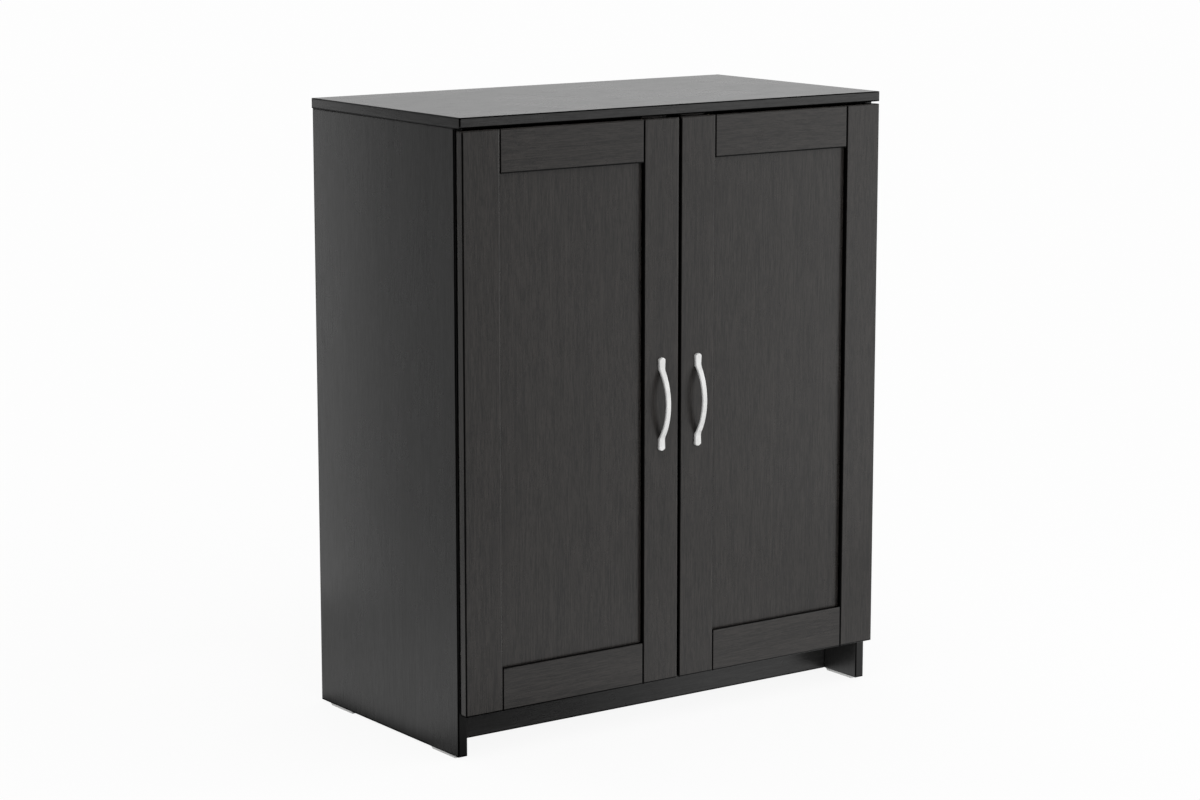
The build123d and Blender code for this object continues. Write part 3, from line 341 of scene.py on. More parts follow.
@dataclass(frozen=True)
class Effects:
    """The shared node groups, each built when it is first asked for.

    A span holds the two ends of a smooth step, and a face's limit is the cosine of its angle.
    """

    underside_shade: Span = (0.15, 0.5)
    corner_shade: Span = (0.96, 0.995)
    level_face: float = 0.95
    edge_face: Span = (0.6, 0.8)
    end_face: float = 0.7
    wander: Layer = Layer(6.0, 9.0)
    wander_reach: float = 0.012
    bands: Layer = Layer(30.0, 90.0)
    band_share: float = 0.14
    streaks: Layer = Layer(24.0, 640.0, roughness=0.6)
    streak_share: float = 0.5
    fine: Layer = Layer(9.0, 1100.0, roughness=0.6)
    fine_share: float = 0.36
    fine_height: float = 0.5
    print_tone: Span = (0.38, 0.62)
    pore_lines: Layer = Layer(45.0, 900.0, detail=1.0)
    pore_tone: Span = (0.60, 0.72)
    rub_tone: Span = (0.42, 0.66)
    cloud_tone: Span = (0.32, 0.7)
    chips_per_metre: float = 600.0
    brush: Layer = Layer(30.0, 2600.0, detail=3.0, roughness=0.6)

    def group(self, effect: Effect) -> Tree:
        """Finds or builds a group.

        Args:
            effect: Which group.

        Returns:
            Its node tree.
        """
        if effect.value not in bpy.data.node_groups:
            getattr(self, effect.value)()
        return bpy.data.node_groups[effect.value]

    def start(self, effect: Effect, inputs: dict[str, str],
              outputs: dict[str, str]) -> tuple[Graph, dict[str, Socket], dict[str, Socket]]:
        """Makes an empty group with named sockets.

        Args:
            effect: Which group.
            inputs: Input names and their short types.
            outputs: Output names and their short types.

        Returns:
            The graph, its input sockets and its output sockets by name.
        """
        tree = bpy.data.node_groups.new(effect.value, "ShaderNodeTree")
        for direction, sockets in (("INPUT", inputs), ("OUTPUT", outputs)):
            for socket, kind in sockets.items():
                tree.interface.new_socket(socket, in_out=direction, socket_type=f"NodeSocket{kind}")
        graph = Graph(tree)
        given = graph.node("NodeGroupInput").outputs
        wanted = graph.node("NodeGroupOutput").inputs
        return graph, {s.name: s for s in given if s.name}, {s.name: s for s in wanted if s.name}

    def board_edges(self) -> None:
        """How far a point is from its board's edges, how deep it lies, its softened normal, and a mask of
        painted shade on its rounded edges.
        """
        graph, given, wanted = self.start(
            Effect.BOARD_EDGES, {"Low": "Vector", "High": "Vector", "Round": "Float", "Corner": "Vector"},
            {"Edge Distance": "Float", "End Distance": "Float", "Depth": "Float",
             "Shaded Edge": "Float", "Normal": "Vector"})
        place = graph.coordinates("Object")
        normal = graph.coordinates("Normal")
        from_low = graph.vector("SUBTRACT", place, given["Low"])
        from_high = graph.vector("SUBTRACT", given["High"], place)
        near = graph.vector("MINIMUM", from_low, from_high)
        x, y, z = graph.split(near)
        least = graph.math("MINIMUM", x, y)
        second = graph.most(least, graph.math("MINIMUM", graph.most(x, y), z))
        graph.feed(wanted["Edge Distance"], second)
        graph.feed(wanted["Depth"], graph.math("MINIMUM", least, z))
        graph.feed(wanted["End Distance"], x)
        outward = graph.vector("SIGN", graph.vector("SUBTRACT", from_low, from_high))
        share = graph.scaled(near, graph.math("DIVIDE", -1.0, given["Round"]))
        lean = graph.vector("MAXIMUM", graph.vector("ADD", share, (1.0, 1.0, 1.0)), (0.0, 0.0, 0.0))
        lean = graph.vector("MULTIPLY", lean, graph.vector("SUBTRACT", (2.0, 2.0, 2.0), lean))
        across = graph.vector("SUBTRACT", (1.0, 1.0, 1.0), graph.vector("ABSOLUTE", normal))
        bent = graph.vector("MULTIPLY", graph.vector("MULTIPLY", lean, across), outward)
        soft = graph.vector("NORMALIZE", graph.vector("ADD", normal, bent))
        # Painted shade: the rounded edges that lean downward, or toward the given corner, are masked here
        # to be coloured black.
        down = graph.dot(soft, Facing.DOWN.value)
        level = graph.math("ABSOLUTE", graph.dot(normal, Facing.UP.value))
        upright = graph.math("LESS_THAN", level, self.level_face)
        under = graph.times(graph.ramp(down, *self.underside_shade), upright)
        corner = graph.ramp(graph.dot(soft, given["Corner"]), *self.corner_shade)
        graph.feed(wanted["Shaded Edge"], graph.most(under, corner))
        turned = graph.node("ShaderNodeVectorTransform", vector_type="NORMAL",
                            convert_from="OBJECT", convert_to="WORLD")
        graph.feed(turned.inputs[0], soft)
        graph.feed(wanted["Normal"], turned.outputs[0])

    def painted_edge(self) -> None:
        """A mask of the faces of a board that look one way, for painted shade."""
        graph, given, wanted = self.start(Effect.PAINTED_SHADE, {"Direction": "Vector"}, {"Mask": "Float"})
        turned = graph.dot(graph.coordinates("Normal"), given["Direction"])
        graph.feed(wanted["Mask"], graph.ramp(turned, *self.edge_face))

    def wood_grain(self) -> None:
        """Printed wood grain: soft bands, fine streaks and thin dark pores along one axis."""
        graph, given, wanted = self.start(
            Effect.WOOD_GRAIN, {"Along": "Vector", "Band Along": "Vector", "Shift": "Vector"},
            {"Tone": "Float", "Pores": "Float", "Height": "Float"})
        facing = graph.math("ABSOLUTE", graph.dot(graph.coordinates("Normal"), given["Along"]))
        end = graph.math("GREATER_THAN", facing, self.end_face)
        axis = graph.blend(end, given["Along"], given["Band Along"])
        place = graph.vector("ADD", graph.coordinates("Object"), given["Shift"])
        wander = graph.math("SUBTRACT", self.drawn(graph, place, axis, self.wander), 0.5)
        drift = graph.scaled((1.0, 1.0, 1.0), graph.times(wander, self.wander_reach))
        bands = self.drawn(graph, place, axis, self.bands, drift)
        streaks = self.drawn(graph, place, axis, self.streaks, drift)
        fine = self.drawn(graph, place, axis, self.fine, drift)
        tone = graph.plus(graph.times(bands, self.band_share), streaks, self.streak_share)
        tone = graph.plus(tone, fine, self.fine_share)
        graph.feed(wanted["Tone"], graph.ramp(tone, *self.print_tone))
        pores = graph.ramp(self.drawn(graph, place, axis, self.pore_lines, drift), *self.pore_tone)
        graph.feed(wanted["Pores"], pores)
        graph.feed(wanted["Height"], graph.math("SUBTRACT", graph.times(fine, self.fine_height), pores))

    def drawn(self, graph: Graph, place: Value, axis: Value, layer: Layer,
              drift: Value = (0.0, 0.0, 0.0)) -> Socket:
        """Adds noise that is drawn out along an axis.

        Args:
            graph: The node tree to add it to.
            place: Where it is read.
            axis: The axis.
            layer: The noise.
            drift: A shift of the drawn-out place.

        Returns:
            The noise.
        """
        along = graph.dot(place, axis)
        flat = graph.vector("SUBTRACT", place, graph.scaled(axis, along))
        drawn = graph.vector("ADD", flat, graph.scaled(axis, graph.math("DIVIDE", along, layer.stretch)))
        return graph.noise(graph.vector("ADD", drawn, drift), layer.scale, layer.detail, layer.roughness)

    def rubbed_edge(self) -> None:
        """A broken band of rubbed surface along the edges of a board."""
        graph, given, wanted = self.start(
            Effect.RUBBED_EDGE, {"Edge Distance": "Float", "Width": "Float"}, {"Mask": "Float"})
        place = graph.coordinates("Object")
        broken = graph.ramp(graph.noise(place, scale=60.0, detail=4.0, roughness=0.6), *self.rub_tone)
        near = graph.ramp(given["Edge Distance"], 0.0, given["Width"], to_low=1.0, to_high=0.0)
        graph.feed(wanted["Mask"], graph.times(near, broken))

    def handling(self) -> None:
        """Faint clouds in the gloss, as hands and cloths leave them."""
        graph, given, wanted = self.start(Effect.HANDLING, {"Scale": "Float"}, {"Cloud": "Float"})
        place = graph.scaled(graph.coordinates("Object"), given["Scale"])
        clouds = graph.noise(place, scale=1.0, detail=5.0, roughness=0.62)
        graph.feed(wanted["Cloud"], graph.ramp(clouds, *self.cloud_tone))

    def chipboard(self) -> None:
        """Raw pressed wood chips, as a bored or cut board shows."""
        graph, given, wanted = self.start(
            Effect.CHIPBOARD, {"Pale": "Color", "Dark": "Color"}, {"Color": "Color"})
        chips = graph.node("ShaderNodeTexVoronoi")
        graph.fill(chips, Vector=graph.coordinates("Object"), Scale=self.chips_per_metre)
        channels = graph.node("ShaderNodeSeparateColor")
        graph.feed(channels.inputs[0], chips.outputs["Color"])
        graph.feed(wanted["Color"], graph.mix(channels.outputs[0], given["Dark"], given["Pale"]))

    def brushed(self) -> None:
        """Fine polishing lines along one axis of a metal piece."""
        graph, given, wanted = self.start(Effect.BRUSHED, {"Along": "Vector"}, {"Line": "Float"})
        place = graph.coordinates("Object")
        graph.feed(wanted["Line"], self.drawn(graph, place, given["Along"], self.brush))

    def moulded(self) -> None:
        """The fine matt grain that a mould leaves on plastic."""
        graph, given, wanted = self.start(
            Effect.MOULDED, {"Scale": "Float"}, {"Tone": "Float", "Height": "Float"})
        place = graph.scaled(graph.coordinates("Object"), given["Scale"])
        graph.feed(wanted["Height"], graph.noise(place, scale=1.0, detail=3.0, roughness=0.6))
        graph.feed(wanted["Tone"], graph.noise(place, scale=0.06, detail=3.0, roughness=0.5))


EFFECTS = Effects()


@dataclass
class Surface:
    """A new material with one Principled shader."""

    name: str

    def __post_init__(self) -> None:
        """Makes the material and finds its shader."""
        self.material = bpy.data.materials.new(self.name)
        self.material.use_nodes = True
        self.graph = Graph(self.material.node_tree)
        self.shader = self.material.node_tree.nodes["Principled BSDF"]

    def set(self, **sockets: Value) -> None:
        """Feeds sockets of the shader by their names, with underscores for spaces."""
        self.graph.fill(self.shader, **sockets)

    def bump(self, height: Value, depth: float, strength: float, normal: Socket | None = None) -> None:
        """Raises the surface by a height.

        Args:
            height: The height, from nodes.
            depth: Real depth of a height of 1, in metres.
            strength: How much of it shows.
            normal: The normal that it starts from, where that isn't the mesh's.
        """
        made = self.graph.node("ShaderNodeBump")
        self.graph.fill(made, Height=height, Distance=depth, Strength=strength)
        if normal is not None:
            self.graph.fill(made, Normal=normal)
        self.set(Normal=made.outputs["Normal"])


@dataclass(frozen=True)
class Board:
    """One board, as its laminate needs to know it: corners, grain, joint lines and the faces with painted
    shade.
    """

    name: str
    low: Vector
    high: Vector
    grain: Grain
    band: Grain
    number: int
    seamed: bool
    painted: tuple[Facing, ...]
    corner: Corner


@dataclass(frozen=True)
class Laminate:
    """Black-brown wood-print laminate over chipboard, black in its joint lines, with painted shade on some
    edges and faces.
    """

    dark: Colour = (0.0106, 0.0105, 0.0104)
    light: Colour = (0.0260, 0.0258, 0.0256)
    pore: Colour = (0.0080, 0.0078, 0.0076)
    rubbed: Colour = (0.050, 0.048, 0.046)
    # Black for the joint lines and for the painted shade on edges and faces.
    seam_and_shade: Colour = (0.001, 0.001, 0.001)
    chip_pale: Colour = (0.46, 0.33, 0.19)
    chip_dark: Colour = (0.22, 0.14, 0.075)
    pore_share: float = 0.6
    rub_share: float = 0.25
    rub_width: float = 1.2 * MM
    gloss: float = 0.27
    cloud_scale: float = 7.0
    cloud_gloss: float = 0.014
    pore_gloss: float = 0.10
    chip_gloss: float = 0.85
    paint_gloss: float = 0.5
    skin: Span = (0.5 * MM, 0.6 * MM)
    round: float = 2.8 * MM
    seam_width: Span = (1.44 * MM, 2.4 * MM)
    # The black of the joint lines and of the painted shade can also take away the reflection there, each
    # by its share below.
    seam_and_shade_depth: float = 0.85
    paint_depth: float = 0.0
    grain_depth: float = 0.12 * MM
    grain_strength: float = 0.2
    print_step: Place = (0.37, 0.61, 0.83)

    def material(self, board: Board) -> Material:
        """Makes the material of one board.

        Args:
            board: The board.

        Returns:
            The material.
        """
        surface = Surface(f"laminate_{board.name}")
        graph = surface.graph
        edges = graph.effect(Effect.BOARD_EDGES, Low=board.low, High=board.high, Round=self.round,
                             Corner=board.corner.value)
        wood = graph.effect(Effect.WOOD_GRAIN, Along=board.grain.value, Band_Along=board.band.value,
                            Shift=tuple(step * board.number for step in self.print_step))
        rub = graph.effect(Effect.RUBBED_EDGE, Edge_Distance=edges["Edge Distance"], Width=self.rub_width)
        cloud = graph.effect(Effect.HANDLING, Scale=self.cloud_scale)
        chips = graph.effect(Effect.CHIPBOARD, Pale=opaque(self.chip_pale), Dark=opaque(self.chip_dark))
        colour = graph.mix(wood["Tone"], self.dark, self.light)
        colour = graph.mix(graph.times(wood["Pores"], self.pore_share), colour, self.pore)
        colour = graph.mix(graph.times(rub["Mask"], self.rub_share), colour, self.rubbed)
        cut = graph.ramp(edges["Depth"], *self.skin)
        colour = graph.mix(cut, colour, chips["Color"])
        gloss = graph.plus(self.gloss, cloud["Cloud"], self.cloud_gloss)
        gloss = graph.plus(gloss, wood["Pores"], self.pore_gloss)
        gloss = graph.most(gloss, graph.times(cut, self.chip_gloss))
        # Painted shade: the lower and left-front rounded edges are coloured black and lose most of their
        # reflection; the listed faces are coloured black too, and lose their reflection only on the doors.
        black = edges["Shaded Edge"]
        dull = graph.times(black, self.seam_and_shade_depth)
        # Each listed face is coloured black as painted shade.
        for edge in board.painted:
            paint = graph.effect(Effect.PAINTED_SHADE, Direction=edge.value)["Mask"]
            black = graph.most(black, paint)
            dull = graph.most(dull, graph.times(paint, self.paint_depth))
            gloss = graph.ramp(paint, 0.0, 1.0, gloss, self.paint_gloss)
        if board.seamed:
            joint = graph.ramp(edges["End Distance"], *self.seam_width, to_low=1.0, to_high=0.0)
            black = graph.most(black, joint)
            dull = graph.most(dull, graph.times(joint, self.seam_and_shade_depth))
            gloss = graph.most(gloss, joint)
        surface.set(Base_Color=graph.mix(black, colour, self.seam_and_shade), Roughness=gloss, Metallic=dull)
        surface.bump(wood["Height"], self.grain_depth, self.grain_strength, edges["Normal"])
        return surface.material


class Finish:
    """A finish that is the same on every piece that has it."""

    def material(self, name: str) -> Material:
        """Makes the material.

        Args:
            name: The material's name.

        Returns:
            The material.
        """
        surface = Surface(name)
        self.paint(surface, surface.graph)
        return surface.material

    def paint(self, surface: Surface, graph: Graph) -> None:
        """Fills the nodes of the material, in each finish's own way."""
        raise NotImplementedError


@dataclass(frozen=True)
class Hardboard(Finish):
    """Thin hardboard: a dark printed face and a brown rear face with the press's mesh marks."""

    print_dark: Colour = (0.038, 0.034, 0.031)
    print_light: Colour = (0.062, 0.057, 0.053)
    raw_pale: Colour = (0.20, 0.122, 0.066)
    raw_dark: Colour = (0.115, 0.066, 0.034)
    rear_limit: float = -0.5
    mesh_pitch: float = 1.6 * MM
    fibre_tone: Span = (0.3, 0.7)
    print_gloss: float = 0.5
    raw_gloss: float = 0.28
    cloud_scale: float = 9.0
    cloud_gloss: float = 0.08
    mark_depth: float = 0.10 * MM
    mark_strength: float = 0.5

    def paint(self, surface: Surface, graph: Graph) -> None:
        """Fills the nodes of the material.

        Args:
            surface: The material.
            graph: Its nodes.
        """
        place = graph.coordinates("Object")
        rear = graph.math("GREATER_THAN", graph.split(graph.coordinates("Normal"))[1], self.rear_limit)
        x, _, z = graph.split(place)
        turn = 2 * math.pi / self.mesh_pitch
        warp = graph.math("SINE", graph.times(x, turn))
        weft = graph.math("SINE", graph.times(z, turn))
        mesh = graph.times(graph.times(warp, weft), rear)
        fibres = graph.noise(place, scale=420.0, detail=6.0, roughness=0.7)
        cloud = graph.effect(Effect.HANDLING, Scale=self.cloud_scale)
        brown = graph.mix(graph.ramp(fibres, *self.fibre_tone), self.raw_dark, self.raw_pale)
        wood = graph.effect(Effect.WOOD_GRAIN, Along=Grain.UPRIGHT.value, Band_Along=Grain.ACROSS.value)
        printed = graph.mix(wood["Tone"], self.print_dark, self.print_light)
        gloss = graph.plus(self.print_gloss, rear, self.raw_gloss)
        gloss = graph.plus(gloss, cloud["Cloud"], self.cloud_gloss)
        surface.set(Base_Color=graph.mix(rear, printed, brown), Roughness=gloss)
        surface.bump(graph.math("ADD", mesh, fibres), self.mark_depth, self.mark_strength)


@dataclass(frozen=True)
class Metal(Finish):
    """A plated or satin metal with polishing lines."""

    colour: Colour
    gloss: float
    along: Grain = Grain.UPRIGHT
    metallic: float = 1.0
    worn: float = 0.9
    line_gloss: float = 0.1
    cloud_scale: float = 60.0
    cloud_gloss: float = 0.05
    line_depth: float = 0.01 * MM
    line_strength: float = 0.3

    def paint(self, surface: Surface, graph: Graph) -> None:
        """Fills the nodes of the material.

        Args:
            surface: The material.
            graph: Its nodes.
        """
        line = graph.effect(Effect.BRUSHED, Along=self.along.value)["Line"]
        cloud = graph.effect(Effect.HANDLING, Scale=self.cloud_scale)["Cloud"]
        gloss = graph.plus(self.gloss - self.line_gloss / 2, line, self.line_gloss)
        gloss = graph.plus(gloss, cloud, self.cloud_gloss)
        surface.set(Base_Color=graph.mix(cloud, self.colour, toned(self.colour, self.worn)))
        surface.set(Roughness=gloss, Metallic=self.metallic)
        surface.bump(line, self.line_depth, self.line_strength)


@dataclass(frozen=True)
class Plastic(Finish):
    """Moulded plastic with a fine matt grain."""

    colour: Colour
    gloss: float
    deep: float = 0.82
    grain_scale: float = 2200.0
    grain_gloss: float = 0.1
    grain_depth: float = 0.04 * MM
    grain_strength: float = 0.4

    def paint(self, surface: Surface, graph: Graph) -> None:
        """Fills the nodes of the material.

        Args:
            surface: The material.
            graph: Its nodes.
        """
        grain = graph.effect(Effect.MOULDED, Scale=self.grain_scale)
        gloss = graph.plus(self.gloss - self.grain_gloss / 2, grain["Height"], self.grain_gloss)
        surface.set(Base_Color=graph.mix(grain["Tone"], self.colour, toned(self.colour, self.deep)))
        surface.set(Roughness=gloss)
        surface.bump(grain["Height"], self.grain_depth, self.grain_strength)


@dataclass(frozen=True)
class ClearRubber(Finish):
    """Soft clear bumper rubber."""

    colour: Colour = (0.86, 0.86, 0.83)
    worn: float = 0.88
    gloss: float = 0.18
    cloud_scale: float = 300.0
    cloud_gloss: float = 0.1
    clearness: float = 0.8
    refraction: float = 1.46

    def paint(self, surface: Surface, graph: Graph) -> None:
        """Fills the nodes of the material.

        Args:
            surface: The material.
            graph: Its nodes.
        """
        cloud = graph.effect(Effect.HANDLING, Scale=self.cloud_scale)["Cloud"]
        surface.set(Base_Color=graph.mix(cloud, self.colour, toned(self.colour, self.worn)))
        surface.set(Roughness=graph.plus(self.gloss, cloud, self.cloud_gloss))
        surface.set(Transmission_Weight=self.clearness, IOR=self.refraction)


@dataclass(frozen=True)
class Beech(Finish):
    """Plain turned beech."""

    dark: Colour = (0.42, 0.27, 0.14)
    light: Colour = (0.60, 0.42, 0.25)
    gloss: float = 0.5
    grain_gloss: float = 0.2
    grain_depth: float = 0.1 * MM
    grain_strength: float = 0.4

    def paint(self, surface: Surface, graph: Graph) -> None:
        """Fills the nodes of the material.

        Args:
            surface: The material.
            graph: Its nodes.
        """
        wood = graph.effect(Effect.WOOD_GRAIN, Along=Grain.ACROSS.value, Band_Along=Grain.UPRIGHT.value)
        surface.set(Base_Color=graph.mix(wood["Tone"], self.dark, self.light))
        surface.set(Roughness=graph.plus(self.gloss, wood["Tone"], self.grain_gloss))
        surface.bump(wood["Height"], self.grain_depth, self.grain_strength)


def dress(node: str, material: Material) -> None:
    """Gives a CAD node one material.

    Args:
        node: The node's name.
        material: The material.
    """
    slots = NODES[node].data.materials
    slots.clear()
    slots.append(material)
    LOG.info("dressed %s with %s", node, material.name)


def replace_node(node: str, parts: Iterable[Mesh], body: str, material: Material) -> None:
    """Puts one new piece in the place of a CAD node of several like solids.

    Args:
        node: The node's name, a plural.
        parts: The new meshes, which are freed.
        body: The CAD body that the piece moves with.
        material: Its material.
    """
    name = f"{node.removesuffix('s')}_set"
    mesh = joined(parts)
    bmesh.ops.recalc_face_normals(mesh, faces=mesh.faces)
    data = bpy.data.meshes.new(name)
    mesh.to_mesh(data)
    mesh.free()
    data.materials.append(material)
    data.shade_smooth()
    data.set_sharp_from_angle(angle=SMOOTH_ANGLE)
    piece = bpy.data.objects.new(name, data)
    bpy.context.scene.collection.objects.link(piece)
    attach(piece, body)
    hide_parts(node)
    LOG.info("built %s on %s: %d faces", name, body, len(data.polygons))


def joined(parts: Iterable[Mesh]) -> Mesh:
    """Joins meshes into one.

    Args:
        parts: The meshes, which are freed.

    Returns:
        The whole.
    """
    whole = bmesh.new()
    for part in parts:
        scratch = bpy.data.meshes.new("part")
        part.to_mesh(scratch)
        part.free()
        whole.from_mesh(scratch)
        bpy.data.meshes.remove(scratch)
    return whole


def loose_solids(node: str) -> list[list[Vector]]:
    """Finds the separate solids of a CAD node.

    Args:
        node: The node's name.

    Returns:
        The corner points of each solid, in order of place.
    """
    mesh = bmesh.new()
    mesh.from_mesh(NODES[node].data)
    bmesh.ops.remove_doubles(mesh, verts=mesh.verts, dist=WELD)
    left = set(mesh.verts)
    solids = []
    while left:
        todo = [left.pop()]
        found = []
        while todo:
            vertex = todo.pop()
            found.append(vertex.co.copy())
            for edge in vertex.link_edges:
                other = edge.other_vert(vertex)
                if other in left:
                    left.discard(other)
                    todo.append(other)
        solids.append(found)
    mesh.free()
    return sorted(solids, key=lambda points: tuple(round(sum(c) / len(points), 5) for c in zip(*points)))


def box_of(points: list[Vector]) -> Box:
    """The lowest and highest corners of some points."""
    return Vector(map(min, *points)), Vector(map(max, *points))


def dome(radius: float, top: float, drop: float, steps: int) -> list[Span]:
    """Radius and height of points on a dome, from its top at the axis to its rim, a drop below it."""
    turns = [math.pi / 2 * step / steps for step in range(steps + 1)]
    return [(radius * math.sin(turn), top + drop * (math.cos(turn) - 1)) for turn in turns]


def lathe(profile: list[Span]) -> Mesh:
    """Turns a profile about the Z axis.

    Args:
        profile: Radius and height of each point, from the top of the axis to the bottom.

    Returns:
        The closed mesh.
    """
    mesh = bmesh.new()
    rings = []
    turns = [2 * math.pi * step / ROUND_STEPS for step in range(ROUND_STEPS)]
    ring = [(math.cos(turn), math.sin(turn)) for turn in turns]
    for radius, height in profile:
        places = [(radius * x, radius * y, height) for x, y in ring] if radius else [(0.0, 0.0, height)]
        rings.append([mesh.verts.new(place) for place in places])
    for upper, lower in zip(rings, rings[1:]):
        for step in range(ROUND_STEPS):
            after = (step + 1) % ROUND_STEPS
            corners = [upper[step % len(upper)], upper[after % len(upper)],
                       lower[after % len(lower)], lower[step % len(lower)]]
            mesh.faces.new(list(dict.fromkeys(corners)))
    return mesh


def cut_with(body: Mesh, tool: Mesh) -> Mesh:
    """Cuts one closed mesh out of another.

    Args:
        body: The mesh to cut, which is freed.
        tool: The mesh to take away, which is freed.

    Returns:
        What is left.
    """
    objects = []
    for mesh in (body, tool):
        data = bpy.data.meshes.new("cut")
        mesh.to_mesh(data)
        mesh.free()
        objects.append(bpy.data.objects.new("cut", data))
        bpy.context.scene.collection.objects.link(objects[-1])
    cut = objects[0].modifiers.new("cut", "BOOLEAN")
    cut.operation = "DIFFERENCE"
    cut.solver = "EXACT"
    cut.object = objects[1]
    result = bmesh.new()
    result.from_object(objects[0], bpy.context.evaluated_depsgraph_get())
    for each in objects:
        data = each.data
        bpy.data.objects.remove(each)
        bpy.data.meshes.remove(data)
    return result


@dataclass
class Fastener:
    """A screw or nail, measured from its CAD solid, with the shares that shape its head, tip and cross."""

    head_top: Vector
    axis: Vector
    length: float
    head_radius: float
    head_depth: float
    shank_radius: float
    crown: float = 0.45
    crown_steps: int = 6
    rim_start: float = 0.9
    rim_radius: float = 0.96
    tip_radius: float = 0.35
    arm_top: float = 1.15
    arm_bottom: float = 0.7
    arm_width: float = 0.26
    arm_depth: float = 1.44

    @classmethod
    def measured(cls, points: list[Vector]) -> "Fastener":
        """Reads a fastener's sizes.

        Args:
            points: The corner points of its solid.

        Returns:
            The fastener.
        """
        low, high = box_of(points)
        spans = high - low
        long = max(range(3), key=lambda k: spans[k])
        middle = (low + high) / 2

        def radius_at(place: float) -> float:
            """Largest distance from the axis at one place along it."""
            ring = [p - middle for p in points if abs(p[long] - place) < WELD]
            return max(math.hypot(*(p[k] for k in range(3) if k != long)) for p in ring)

        outward = 1.0 if radius_at(high[long]) > radius_at(low[long]) else -1.0
        top, tip = (high[long], low[long]) if outward > 0 else (low[long], high[long])
        steps = sorted(abs(p[long] - top) for p in points)
        axis = Vector((0.0, 0.0, 0.0))
        axis[long] = outward
        place = middle.copy()
        place[long] = top
        return cls(head_top=place, axis=axis, length=spans[long], head_radius=radius_at(top),
                   head_depth=next(step for step in steps if step > WELD), shank_radius=radius_at(tip))

    def mesh(self, drive: Drive) -> Mesh:
        """Builds the fastener in its place.

        Args:
            drive: What is cut in its head.

        Returns:
            The mesh.
        """
        body = lathe(dome(self.head_radius, 0.0, self.crown * self.head_depth, self.crown_steps) + [
            (self.head_radius, -self.rim_start * self.head_depth),
            (self.rim_radius * self.head_radius, -self.head_depth),
            (self.shank_radius, -self.head_depth),
            (self.shank_radius, self.shank_radius - self.length),
            (self.tip_radius * self.shank_radius, -self.length),
            (0.0, -self.length),
        ])
        if drive is Drive.CROSS:
            for turn in (0.0, math.pi / 2):
                body = cut_with(body, self.cross_arm(turn))
        upright = Vector((0.0, 0.0, 1.0)).rotation_difference(self.axis).to_matrix().to_4x4()
        body.transform(Matrix.Translation(self.head_top) @ upright)
        return body

    def cross_arm(self, turn: float) -> Mesh:
        """Builds the tapered blade that cuts one arm of the cross.

        Args:
            turn: Its angle about the axis.

        Returns:
            The closed mesh.
        """
        blade = bmesh.new()
        corners = bmesh.ops.create_cube(blade, size=1.0)["verts"]
        for corner in corners:
            corner.co.x *= self.head_radius * (self.arm_top if corner.co.z > 0 else self.arm_bottom)
            corner.co.y *= self.arm_width * self.head_radius
            corner.co.z *= self.arm_depth * self.head_depth
        bmesh.ops.rotate(blade, verts=corners, matrix=Matrix.Rotation(turn, 3, "Z"))
        return blade


def rebuild_fasteners(node: str, body: str, material: Material, drive: Drive) -> None:
    """Replaces the plain fasteners of a CAD node by turned ones, with the drive cut in their heads."""
    parts = (Fastener.measured(points).mesh(drive) for points in loose_solids(node))
    replace_node(node, parts, body, material)


@dataclass
class Boards:
    """The laminate boards of the carcass or of one door."""

    finish: Laminate
    count: int

    def dress(self, node: str, grain: Grain, band: Grain, box: Box | None = None,
              painted: tuple[Facing, ...] = (), corner: Corner = Corner.UPRIGHT) -> None:
        """Gives a board its own piece of laminate.

        Args:
            node: The board's node.
            grain: The way its grain runs.
            band: The way the grain runs on its end edges.
            box: The corners of what shows of it, where its ends meet other boards in a joint line.
            painted: The ways that the faces look which carry painted shade (black).
            corner: Which of its rounded corners carry painted shade.
        """
        self.count += 1
        low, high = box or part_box(node)
        board = Board(node, low, high, grain, band, self.count, box is not None, painted, corner)
        dress(node, self.finish.material(board))


@dataclass
class Metals:
    """The metal finishes, each made once."""

    def __post_init__(self) -> None:
        """Makes the materials."""
        satin = Metal(colour=(0.93, 0.93, 0.92), gloss=0.42, metallic=0.42)
        nickel = Metal(colour=(0.66, 0.64, 0.61), gloss=0.27, along=Grain.DEEP)
        zinc = Metal(colour=(0.55, 0.55, 0.56), gloss=0.42)
        steel = Metal(colour=(0.66, 0.66, 0.68), gloss=0.3, along=Grain.ACROSS)
        self.handle = satin.material("satin_handle")
        self.nickel = nickel.material("nickel_plate")
        self.zinc = zinc.material("cast_zinc")
        self.steel = steel.material("zinc_plated_steel")


